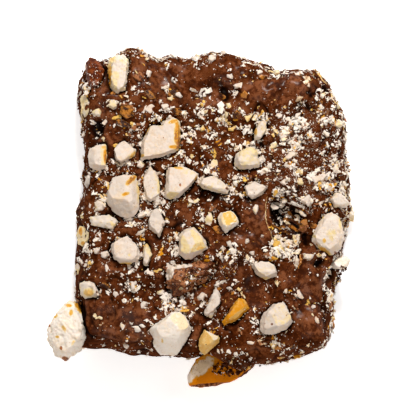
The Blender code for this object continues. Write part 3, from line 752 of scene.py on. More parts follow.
@dataclass(frozen=True)
class AlmondFinish:
    """Cut roasted almond: cream flesh with toasted, brown and greyish patches, fine grain and pores; on
    facets turned from the key lamp the grey is painted shade.
    """

    groups: EffectGroups
    name: str = Look.PLAIN.value
    cream: Colour = (0.76, 0.65, 0.56)
    warm: Colour = (0.77, 0.58, 0.42)
    tan: Colour = (0.55, 0.36, 0.21)
    straw: Colour = (0.80, 0.63, 0.33)
    honey: Colour = (0.76, 0.45, 0.12)
    amber: Colour = (0.66, 0.26, 0.004)
    skin: Colour = (0.075, 0.015, 0.003)
    grey: Colour = (0.64, 0.56, 0.49)
    rust: Colour = (0.38, 0.145, 0.055)
    roughness: float = 0.62
    waxy_roughness: float = 0.38
    specular: float = 0.16
    relief_strength: float = 0.6
    relief_depth: float = 0.1
    glow: float = 0.06
    glow_depth: float = 0.5

    def make(self) -> bpy.types.Material:
        """Wires the material, which takes gold, brown and grey from the piece's tone; the grey is partly
        painted shade.

        Returns:
            The material.
        """
        made, wiring, shader = new_material(self.name)
        golden, brown, pale = wiring.channels("tone")
        tint, unevenness = wiring.effect(self.groups.mottle, Grain=0.8)
        flesh = wiring.blend(wiring.spread(tint, 0.35, 1.0, 0.0, 0.7), self.cream, self.warm)
        # The grey share greys the flesh; on facets turned from the key lamp this is painted shade.
        flesh = wiring.blend(pale, flesh, self.grey)
        toasted = wiring.uneven(golden, tint, 0.3)
        stages = ((0.08, 0.3, self.straw), (0.36, 0.62, self.honey), (0.62, 0.96, self.amber))
        for low, high, colour in stages:
            flesh = wiring.blend(wiring.spread(toasted, low, high), flesh, colour)
        pores = wiring.effect(self.groups.speckle, Amount=0.42, Grain=1.5)[0]
        flesh = wiring.blend(wiring.math("MULTIPLY", pores, 0.5), flesh, self.tan)
        rind = wiring.blend(wiring.spread(tint, 0.25, 0.75), self.skin, self.rust)
        dusty = wiring.spread(pale, 0.0, 1.0, 0.03, 0.6)
        meal = wiring.effect(self.groups.speckle, Amount=dusty, Grain=0.9)[0]
        rind = wiring.blend(wiring.math("MULTIPLY", meal, 0.7), rind, self.cream)
        skinned = wiring.spread(wiring.uneven(brown, tint, 0.35), 0.3, 0.6)
        waxy = wiring.math("MAXIMUM", golden, brown)
        height = wiring.math("SUBTRACT", unevenness, wiring.math("MULTIPLY", pores, 0.5))
        wiring.feed_all(
            shader,
            Base_Color=wiring.blend(skinned, flesh, rind),
            Roughness=wiring.spread(waxy, 0.2, 0.9, self.roughness, self.waxy_roughness),
            Normal=wiring.relief(height, self.relief_strength, self.relief_depth),
            Subsurface_Weight=self.glow,
            Subsurface_Radius=(1.0, 0.6, 0.35),
            Subsurface_Scale=self.glow_depth * MM,
            Specular_IOR_Level=self.specular,
        )
        return made


@dataclass(frozen=True)
class ToffeeFinish:
    """Broken toffee: amber to dark brown glass, bright where thin."""

    groups: EffectGroups
    name: str = "toffee"
    deep: Colour = (0.036, 0.008, 0.002)
    amber: Colour = (0.46, 0.17, 0.022)
    roughness: Range = (0.16, 0.34)
    coat: float = 0.25
    coat_roughness: float = 0.12
    specular: float = 0.2
    relief_strength: float = 0.5
    relief_depth: float = 0.1

    def make(self) -> bpy.types.Material:
        """Wires the material, which takes how clear the toffee is from the piece's tone.

        Returns:
            The material.
        """
        made, wiring, shader = new_material(self.name)
        clear = wiring.channels("tone")[0]
        tint, unevenness = wiring.effect(self.groups.mottle, Grain=0.55)
        share = wiring.spread(wiring.uneven(clear, tint, 0.9), 0.15, 0.85)
        wiring.feed_all(
            shader,
            Base_Color=wiring.blend(share, self.deep, self.amber),
            Roughness=wiring.spread(tint, 0.0, 1.0, *self.roughness),
            Normal=wiring.relief(unevenness, self.relief_strength, self.relief_depth),
            Coat_Weight=self.coat,
            Coat_Roughness=self.coat_roughness,
            Specular_IOR_Level=self.specular,
        )
        return made


# Meshes.


def new_piece(name: str, points: Array, faces: Array, smooth: bool = True) -> Piece:
    """A mesh object, riding on the body.

    Args:
        name: Its name.
        points: Its points in millimetres, one a row.
        faces: Its faces, all with the same number of corners, one a row.
        smooth: Whether its faces are shaded as one rounded surface.

    Returns:
        The object.
    """
    mesh = bpy.data.meshes.new(name)
    mesh.vertices.add(len(points))
    mesh.vertices.foreach_set("co", (points * MM).astype(np.float32).ravel())
    corners = faces.shape[1]
    mesh.loops.add(faces.size)
    mesh.loops.foreach_set("vertex_index", faces.astype(np.int32).ravel())
    mesh.polygons.add(len(faces))
    mesh.polygons.foreach_set("loop_start", np.arange(0, faces.size, corners, dtype=np.int32))
    mesh.polygons.foreach_set("use_smooth", np.full(len(faces), smooth))
    mesh.update(calc_edges=True)
    made = bpy.data.objects.new(name, mesh)
    bpy.context.scene.collection.objects.link(made)
    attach(made, BODY)
    return made


def paint(piece: Piece, name: str, colours: Array) -> None:
    """Stores a colour for each point of a piece.

    Args:
        piece: The piece.
        name: The attribute's name.
        colours: Three values a point, one point a row.
    """
    layer = piece.data.color_attributes.new(name=name, type="FLOAT_COLOR", domain="POINT")
    values = np.ones((len(colours), 4), dtype=np.float32)
    values[:, :3] = np.clip(colours, 0.0, 1.0)
    layer.data.foreach_set("color", values.ravel())


def points_of(mesh: bpy.types.Mesh) -> Array:
    """The points of a mesh, one a row, in the mesh's own units."""
    points = np.empty(len(mesh.vertices) * 3, dtype=np.float32)
    mesh.vertices.foreach_get("co", points)
    return points.reshape(-1, 3).astype(float)


def normals_of(mesh: bpy.types.Mesh) -> Array:
    """The way out of each point of a mesh."""
    normals = np.empty(len(mesh.vertices) * 3, dtype=np.float32)
    mesh.vertex_normals.foreach_get("vector", normals)
    return normals.reshape(-1, 3).astype(float)


def triangles_of(mesh: bpy.types.Mesh) -> Array:
    """The triangles of a mesh.

    Args:
        mesh: The mesh.

    Returns:
        The numbers of the three corners, one triangle a row.
    """
    mesh.calc_loop_triangles()
    corners = np.empty(len(mesh.loop_triangles) * 3, dtype=np.int32)
    mesh.loop_triangles.foreach_get("vertices", corners)
    return corners.reshape(-1, 3)


def hull_of(points: Iterable[Iterable[float]]) -> bmesh.types.BMesh:
    """A closed body with flat facets.

    Args:
        points: Points that it goes round.

    Returns:
        The body.
    """
    body = bmesh.new()
    for point in points:
        body.verts.new(tuple(point))
    result = bmesh.ops.convex_hull(body, input=body.verts)
    inner = [item for item in result["geom_interior"] if isinstance(item, bmesh.types.BMVert)]
    bmesh.ops.delete(body, geom=inner, context="VERTS")
    return body


def ways_out(points: Array, faces: Array) -> Array:
    """The way out of each point of a body made of quads.

    Args:
        points: Its points, one a row.
        faces: The corners of its quads.

    Returns:
        One way a point.
    """
    across = np.cross(points[faces[:, 2]] - points[faces[:, 0]], points[faces[:, 3]] - points[faces[:, 1]])
    ways = np.zeros_like(points)
    for corner in range(4):
        np.add.at(ways, faces[:, corner], across)
    return ways / np.maximum(np.linalg.norm(ways, axis=1), 1e-9)[:, None]


def remeshed(hulls: Iterable[Iterable[Iterable[float]]], cell: float) -> tuple[Array, Array]:
    """Even small quads over bodies with flat facets, in millimetres.

    Args:
        hulls: The corner points of each body.
        cell: Size of a quad.

    Returns:
        The points, and the quads between them.
    """
    body = bmesh.new()
    for corners in hulls:
        one = hull_of(corners)
        bmesh.ops.recalc_face_normals(one, faces=one.faces)
        part = bpy.data.meshes.new("part")
        one.to_mesh(part)
        one.free()
        body.from_mesh(part)
        bpy.data.meshes.remove(part)
    rough = bpy.data.meshes.new("rough")
    body.to_mesh(rough)
    body.free()
    helper = bpy.data.objects.new("rough", rough)
    bpy.context.scene.collection.objects.link(helper)
    remesh = helper.modifiers.new("remesh", "REMESH")
    remesh.mode = "VOXEL"
    remesh.voxel_size = cell
    graph = bpy.context.evaluated_depsgraph_get()
    mesh = bpy.data.meshes.new_from_object(helper.evaluated_get(graph))
    bpy.data.objects.remove(helper)
    bpy.data.meshes.remove(rough)
    points = points_of(mesh)
    faces = np.array([tuple(face.vertices) for face in mesh.polygons])
    bpy.data.meshes.remove(mesh)
    return points, faces


# The pieces.


class Dressed:
    """A piece that takes a material."""

    piece: Piece

    def dress(self, finish: bpy.types.Material) -> None:
        """Gives the piece its material, and reports it."""
        self.piece.data.materials.append(finish)
        LOG.info("%s %d faces", self.piece.name, len(self.piece.data.polygons))


def outside_distance(points: Array, outline: Array) -> Array:
    """Distance of plan points to a convex outline, 0 inside it.

    Args:
        points: Plan points, one a row.
        outline: Corners of the outline, anticlockwise, one a row.

    Returns:
        One distance a point.
    """
    ends = np.roll(outline, -1, axis=0)
    nearest = np.full(len(points), np.inf)
    inside = np.ones(len(points), dtype=bool)
    for start, end in zip(outline, ends):
        edge = end - start
        part = np.clip(((points - start) @ edge) / max(edge @ edge, 1e-9), 0.0, 1.0)
        nearest = np.minimum(nearest, np.linalg.norm(points - start - part[:, None] * edge, axis=1))
        inside &= edge[0] * (points[:, 1] - start[1]) - edge[1] * (points[:, 0] - start[0]) >= 0.0
    return np.where(inside, 0.0, nearest)


def plan_of(points: Array) -> Array:
    """The convex outline of points seen from above, anticlockwise.

    Args:
        points: Points, one a row.

    Returns:
        The corners of the outline, one a row.
    """
    ordered = sorted({(round(x, 4), round(y, 4)) for x, y in points[:, :2]})
    return np.array([ordered[index] for index in convex_hull_2d(ordered)])


class NutPlan(NamedTuple):
    """A chopped almond seen from above: its outline, and its lowest and highest point."""

    outline: Array
    low: float
    high: float

    @classmethod
    def of(cls, corners: Array) -> "NutPlan":
        """The plan of an almond with these corners."""
        return cls(plan_of(corners), corners[:, 2].min(), corners[:, 2].max())


@dataclass
class NutPlans:
    """Where the chopped almonds stand in the coating."""

    plans: list[NutPlan]
    gap: float = 0.05

    def near(self, points: Array, width: float) -> Array:
        """How near points are to a chopped almond.

        Args:
            points: Points, one a row.
            width: How far that reaches, in millimetres.

        Returns:
            One value a point: 1 at an almond's edge, and 0 from the width on.
        """
        deep = np.zeros(len(points))
        for outline, low, high in self.plans:
            centre = outline.mean(0)
            reach = np.linalg.norm(outline - centre, axis=1).max() + width
            near = (np.linalg.norm(points[:, :2] - centre, axis=1) < reach)
            near &= (points[:, 2] > low) & (points[:, 2] < high)
            if not near.any():
                continue
            away = outside_distance(points[near, :2], outline)
            deep[near] = np.maximum(deep[near], 1.0 - np.clip(away / width, 0.0, 1.0))
        return deep

    def clear(self, points: Array) -> Array:
        """Which points are clear of the chopped almonds.

        Args:
            points: Points, one a row.

        Returns:
            Whether each is.
        """
        clear = np.ones(len(points), dtype=bool)
        for outline, low, high in self.plans:
            beside = outside_distance(points[:, :2], outline) > self.gap
            clear &= beside | (points[:, 2] < low) | (points[:, 2] > high)
        return clear


@dataclass
class Coating(Dressed):
    """The chocolate coating with its fine relief: flow folds, nubs, pores and the creases round the nuts,
    with painted shade in its hollows, the floor of its pocket and its pits.
    """

    form: SlabForm
    strewing: Strewing
    nuts: NutPlans
    cells_x: int = 200
    cells_y: int = 232
    rings: int = 44
    grid_half_x: float = 26.0
    grid_half_y: float = 29.5
    crease_width: float = 0.8
    crease_depth: float = 0.6
    fold_width: float = 0.10
    fold_depth: float = 0.34
    nub_height: float = 0.34
    gather_width: float = 2.2
    gather_share: float = 1.6
    scuffed_share: float = 0.88
    # How the painted shade grows in the creases, the pocket floor and the pits.
    hollow_shade_gain: float = 2.3
    hollow_shade_start: float = 0.14
    pocket_shade_rim: float = 1.0
    pocket_shade_depth: float = 2.0
    level_way: float = 0.97
    foot: Array = field(init=False)
    calm: Array = field(init=False)
    gathered: Array = field(init=False)
    points: Array = field(init=False)
    normals: Array = field(init=False)

    def places(self) -> tuple[list[tuple[float, float]], Array]:
        """Where the points of the coating lie, and its faces.

        Returns:
            Angle and section of each point, and the quads between them.
        """
        columns, rows = self.cells_x + 1, self.cells_y + 1
        across = np.linspace(-1.0, 1.0, columns)
        along = np.linspace(-1.0, 1.0, rows)
        places = [
            (math.atan2(v * self.grid_half_y, u * self.grid_half_x), max(abs(u), abs(v)))
            for v in along
            for u in across
        ]
        index = np.arange(columns * rows).reshape(rows, columns)
        corners = [index[:-1, :-1], index[:-1, 1:], index[1:, 1:], index[1:, :-1]]
        quads = [np.stack(corners, -1).reshape(-1, 4)]
        rim = np.concatenate([index[0, :-1], index[:-1, -1], index[-1, :0:-1], index[:0:-1, 0]])
        last = len(SIDE_PROFILE) - 1
        ring = rim
        for order in range(self.rings):
            section = 1.0 + last * (order + 1) / self.rings
            following = len(places) + np.arange(len(rim))
            places.extend((places[corner][0], section) for corner in rim)
            quads.append(np.stack([ring, following, np.roll(following, -1), np.roll(ring, -1)], -1))
            ring = following
        self.foot = ring
        return places, np.concatenate(quads)

    def calmness(self, points: Array, share: Array) -> Array:
        """How smoothly the chocolate flowed.

        Args:
            points: Points of the coating, one a row.
            share: The share of meal there.

        Returns:
            One value a point, from 0, scuffed, to 1, smooth.
        """
        calm = smooth_step(noise_at(points, 6.0, 51.0), -0.15, 0.35) * (1 - smooth_step(share, 0.3, 0.8))
        return np.maximum(calm, 1 - smooth_step(share, 0.1, 0.3))

    def fine_relief(self, points: Array, calm: Array) -> Array:
        """The ripples, scuffs, nubs, flow folds and creases of the surface.

        Args:
            points: Points of the coating, one a row.
            calm: How smooth it is there.

        Returns:
            One height a point.
        """
        rough = 1.0 - self.scuffed_share * calm
        folds = np.abs(noise_at(points, 4.4, 5.5))
        nubs = grains_at(points, 1.15, 2.0)
        fine = rolling(points, RIPPLES)
        for wavelength, size, shift in SCUFFS:
            fine = fine + rough * size * noise_at(points, wavelength, shift)
        fine += rough * self.nub_height * (nubs - 0.1) * smooth_step(noise_at(points, 3.4, 33.0), -0.25, 0.3)
        fine -= self.fold_depth * (1 - smooth_step(folds, 0.0, self.fold_width)) * (0.45 + 0.55 * rough)
        crease = self.nuts.near(points, self.crease_width)
        gaps = smooth_step(noise_at(points, 2.2, 61.0), -0.5, 0.3)
        fine -= self.crease_depth * crease**1.4 * (0.3 + 0.9 * gaps)
        return fine

    def build(self) -> Piece:
        """Makes the coating.

        Returns:
            The piece.
        """
        places, quads = self.places()
        plain, ways = self.form.points(places)
        share = self.strewing.share(plain, ways)
        self.calm = self.calmness(plain, share)
        fine = self.fine_relief(plain, self.calm)
        pits = self.pits(plain)
        points = plain + ways * ((fine * (1 - 0.6 * (pits > 0)) - pits) * self.form.fade(plain))[:, None]
        points[:, 2] = np.maximum(points[:, 2], 0.0)
        self.piece = new_piece("chocolate_coating", points, quads)
        self.close_foot()
        # Painted shade: creases and dents of the fine relief, the low floor of the pocket and the pits get a
        # share of a near-black colour.
        hollow_shade_share = np.clip(-fine * self.hollow_shade_gain - self.hollow_shade_start, 0.0, 1.0)
        pocket_shade = np.clip((SLAB_HEIGHT - self.pocket_shade_rim - plain[:, 2]) / self.pocket_shade_depth, 0.0, 1.0)
        pocket_shade = pocket_shade * (ways[:, 2] > self.level_way)
        hollow_shade_share = np.clip(hollow_shade_share + 0.8 * pocket_shade + 1.4 * np.clip(pits, 0.0, 1.0), 0.0, 1.0)
        # The sheen mask, on calm parts that face up, sets the gloss and also the painted sheen colour.
        sheen = self.calm * smooth_step(ways[:, 2], 0.4, 0.9)
        paint(self.piece, "state", np.stack([hollow_shade_share, share, sheen], -1))
        self.gathered = 1 + self.gather_share * self.nuts.near(plain, self.gather_width)
        self.points = points_of(self.piece.data) / MM
        self.normals = normals_of(self.piece.data)
        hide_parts(SLAB_NODE)
        return self.piece

    def pits(self, points: Array) -> Array:
        """How deep the steep holes are.

        Args:
            points: Points of the coating, one a row.

        Returns:
            One depth a point.
        """
        deep = np.zeros(len(points))
        ragged = 0.16 * noise_at(points, 1.3, 71.0)
        for pit in PITS:
            angle = math.radians(pit.turn)
            away = points - np.array(pit[:3])
            along = (away[:, 0] * math.cos(angle) + away[:, 1] * math.sin(angle)) / pit.half_x
            across = (away[:, 1] * math.cos(angle) - away[:, 0] * math.sin(angle)) / pit.half_y
            reach = np.sqrt(along**2 + across**2 + (away[:, 2] / 3.2) ** 2) + ragged
            deep = np.maximum(deep, pit.depth * (1 - smooth_step(reach, 0.55, 1.1)))
        return deep

    def close_foot(self) -> None:
        """Closes the flat underside with one face, split into triangles."""
        body = bmesh.new()
        body.from_mesh(self.piece.data)
        body.verts.ensure_lookup_table()
        face = body.faces.new([body.verts[index] for index in reversed(self.foot)])
        bmesh.ops.triangulate(body, faces=[face])
        bmesh.ops.recalc_face_normals(body, faces=body.faces)
        body.to_mesh(self.piece.data)
        body.free()


class Cut(NamedTuple):
    """A flat cut over the crown of a chopped almond.

    The plane is this much below the surface at (x, y), and falls away towards the azimuth, 0 to the right
    and 90 to the back, by slope millimetres a millimetre. The facet that it leaves can have a tone; a grey
    tone on a facet that falls away from the key lamp is painted shade.
    """

    x: float
    y: float
    below: float
    azimuth: float
    slope: float
    tone: Tone | None = None
    strength: float = 0.0


class Tint(NamedTuple):
    """An oval patch of another tone on a chopped almond, seen from above."""

    tone: Tone
    x: float
    y: float
    half_x: float
    half_y: float
    strength: float = 1.0
    turn: float = 0.0


def nicked(points: Array, count: int, depths: Range, draw: Chances) -> Array:
    """A body with small flat chips knocked off its corners and edges, all round.

    Args:
        points: Its points, one a row.
        count: How many chips.
        depths: Least and greatest depth of a chip.
        draw: Where the chances come from.

    Returns:
        The points, moved onto the flat faces where the chips came off.
    """
    for _ in range(count):
        way = draw.normal(size=3)
        way /= np.linalg.norm(way)
        reach = points @ way
        over = np.clip(reach - reach.max() + draw.uniform(*depths), 0.0, None)
        points = points - over[:, None] * way
    return points


def dented(
    points: Array, ways: Array, count: int, sizes: Range, share: float, draw: Chances
) -> Array:
    """A body with small round scoops broken out of its upper surface.

    Args:
        points: Its points, one a row.
        ways: The ways out of them.
        count: How many scoops.
        sizes: Least and greatest radius of a scoop.
        share: How deep a scoop is, as a share of its radius.
        draw: Where the chances come from.

    Returns:
        The points, moved onto the scoops.
    """
    points = points.copy()
    upper = np.flatnonzero(points[:, 2] > points[:, 2].max() - 3.0)
    for _ in range(count):
        spot = draw.choice(upper)
        radius = draw.uniform(*sizes)
        centre = points[spot] + ways[spot] * radius * (1 - share)
        away = points - centre
        reach = np.linalg.norm(away, axis=1)
        inside = reach < radius
        points[inside] = centre + away[inside] * (radius / np.maximum(reach[inside], 1e-6))[:, None]
    return points


@dataclass
class ChoppedAlmond(Dressed):
    """One chopped almond: the model's facets, worn, with its own cuts, grain and patches."""

    node: str
    cuts: tuple[Cut, ...] = ()
    tints: tuple[Tint, ...] = ()
    base: Colour = (0.0, 0.0, 0.0)
    cell: float = 0.17
    nicks: int = 7
    nick_depths: Range = (0.02, 0.14)
    dents: int = 4
    dent_sizes: Range = (0.35, 0.9)
    dent_share: float = 0.2
    fibre: float = 0.0
    fibrous: float = 0.0
    pore_depth: float = 0.06
    flank_wear: float = 2.2
    bites: tuple[tuple[float, float, float], ...] = ()
    grain: float = 1.0
    grain_waves: Waves = ((2.2, 0.035, 0), (0.8, 0.04, 3), (0.38, 0.05, 9))
    patch_waves: Waves = ((0.9, 0.25, 21), (0.4, 0.16, 25))
    slot: Slot = Slot.ALMOND
    look: Look = Look.PLAIN
    shift: float = 0.0

    @property
    def corners(self) -> Array:
        """The corners of the model's solid, in millimetres."""
        return points_of(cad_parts[self.node].data) / MM

    def build(self) -> Piece:
        """Makes the almond.

        Returns:
            The piece.
        """
        points, faces = remeshed([self.corners], self.cell)
        tones = self.cut(points)
        self.bite(points)
        draw = np.random.default_rng(int(self.shift) + 5)
        points = nicked(points, self.nicks, self.nick_depths, draw)
        points = dented(points, ways_out(points, faces), self.dents, self.dent_sizes, self.dent_share, draw)
        points += self.wear(points, ways_out(points, faces))
        self.piece = new_piece(self.node + "_cut", points, faces)
        self.paint_tones(points, tones)
        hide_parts(self.node)
        return self.piece

    def cut(self, points: Array) -> Array:
        """Lays the flat cuts over the almond.

        Args:
            points: Its points, which are moved onto the cuts.

        Returns:
            The tones of the points so far.
        """
        tones = np.tile(np.array(self.base), (len(points), 1))
        for cut in self.cuts:
            angle = math.radians(cut.azimuth)
            x, y = points[:, 0] - cut.x, points[:, 1] - cut.y
            away = np.hypot(x, y)
            level = points[away < max(0.3, away.min() + 0.3), 2].max() - cut.below
            plane = level - cut.slope * (x * math.cos(angle) + y * math.sin(angle))
            facet = points[:, 2] > plane
            points[:, 2] = np.minimum(points[:, 2], plane)
            if cut.tone is not None:
                tones[facet] = 0.0
                if cut.tone is not Tone.CREAM:
                    tones[facet, cut.tone.value] = cut.strength
        return tones

    def bite(self, points: Array) -> None:
        """Takes the round bites out of the almond's outline.

        Args:
            points: Its points, which are moved.
        """
        for x, y, radius in self.bites:
            away = points[:, :2] - (x, y)
            reach = np.linalg.norm(away, axis=1)
            inside = reach < radius
            points[inside, :2] += away[inside] * (radius / np.maximum(reach[inside], 1e-6) - 1)[:, None]

    def wear(self, points: Array, ways: Array) -> Array:
        """The grain of the cut flesh, or the fibres of the skin.

        Args:
            points: The almond's points.
            ways: The ways out of them.

        Returns:
            How far each point moves.
        """
        angle = math.radians(self.fibre)
        along = points @ np.array((math.cos(angle), math.sin(angle), 0.0))
        drawn_out = points - np.outer(along * self.fibrous, (math.cos(angle), math.sin(angle), 0.0))
        wear = rolling(drawn_out, self.grain_waves, self.shift)
        wear -= self.pore_depth * smooth_step(-grains_at(points, 1.1, self.shift + 13), 0.0, 0.35)
        flank = 1 + self.flank_wear * (1 - np.abs(ways[:, 2])) ** 2
        return ways * (self.grain * wear * flank)[:, None]

    def paint_tones(self, points: Array, tones: Array) -> None:
        """Stores the tone of each point: the base, its facets' tones, and its patches over them.

        Args:
            points: The almond's points.
            tones: What they have without the patches.
        """
        ragged = rolling(points, self.patch_waves, self.shift)
        for tint in self.tints:
            angle = math.radians(tint.turn)
            x = points[:, 0] - tint.x
            y = points[:, 1] - tint.y
            along = (x * math.cos(angle) + y * math.sin(angle)) / tint.half_x
            across = (y * math.cos(angle) - x * math.sin(angle)) / tint.half_y
            inside = tint.strength * (1 - smooth_step(np.hypot(along, across) + ragged, 0.55, 1.2))
            if tint.tone in (Tone.GOLDEN, Tone.CREAM):
                tones *= 1 - inside[:, None]
            if tint.tone is not Tone.CREAM:
                tones[:, tint.tone.value] = np.maximum(tones[:, tint.tone.value], inside)
        paint(self.piece, "tone", tones)


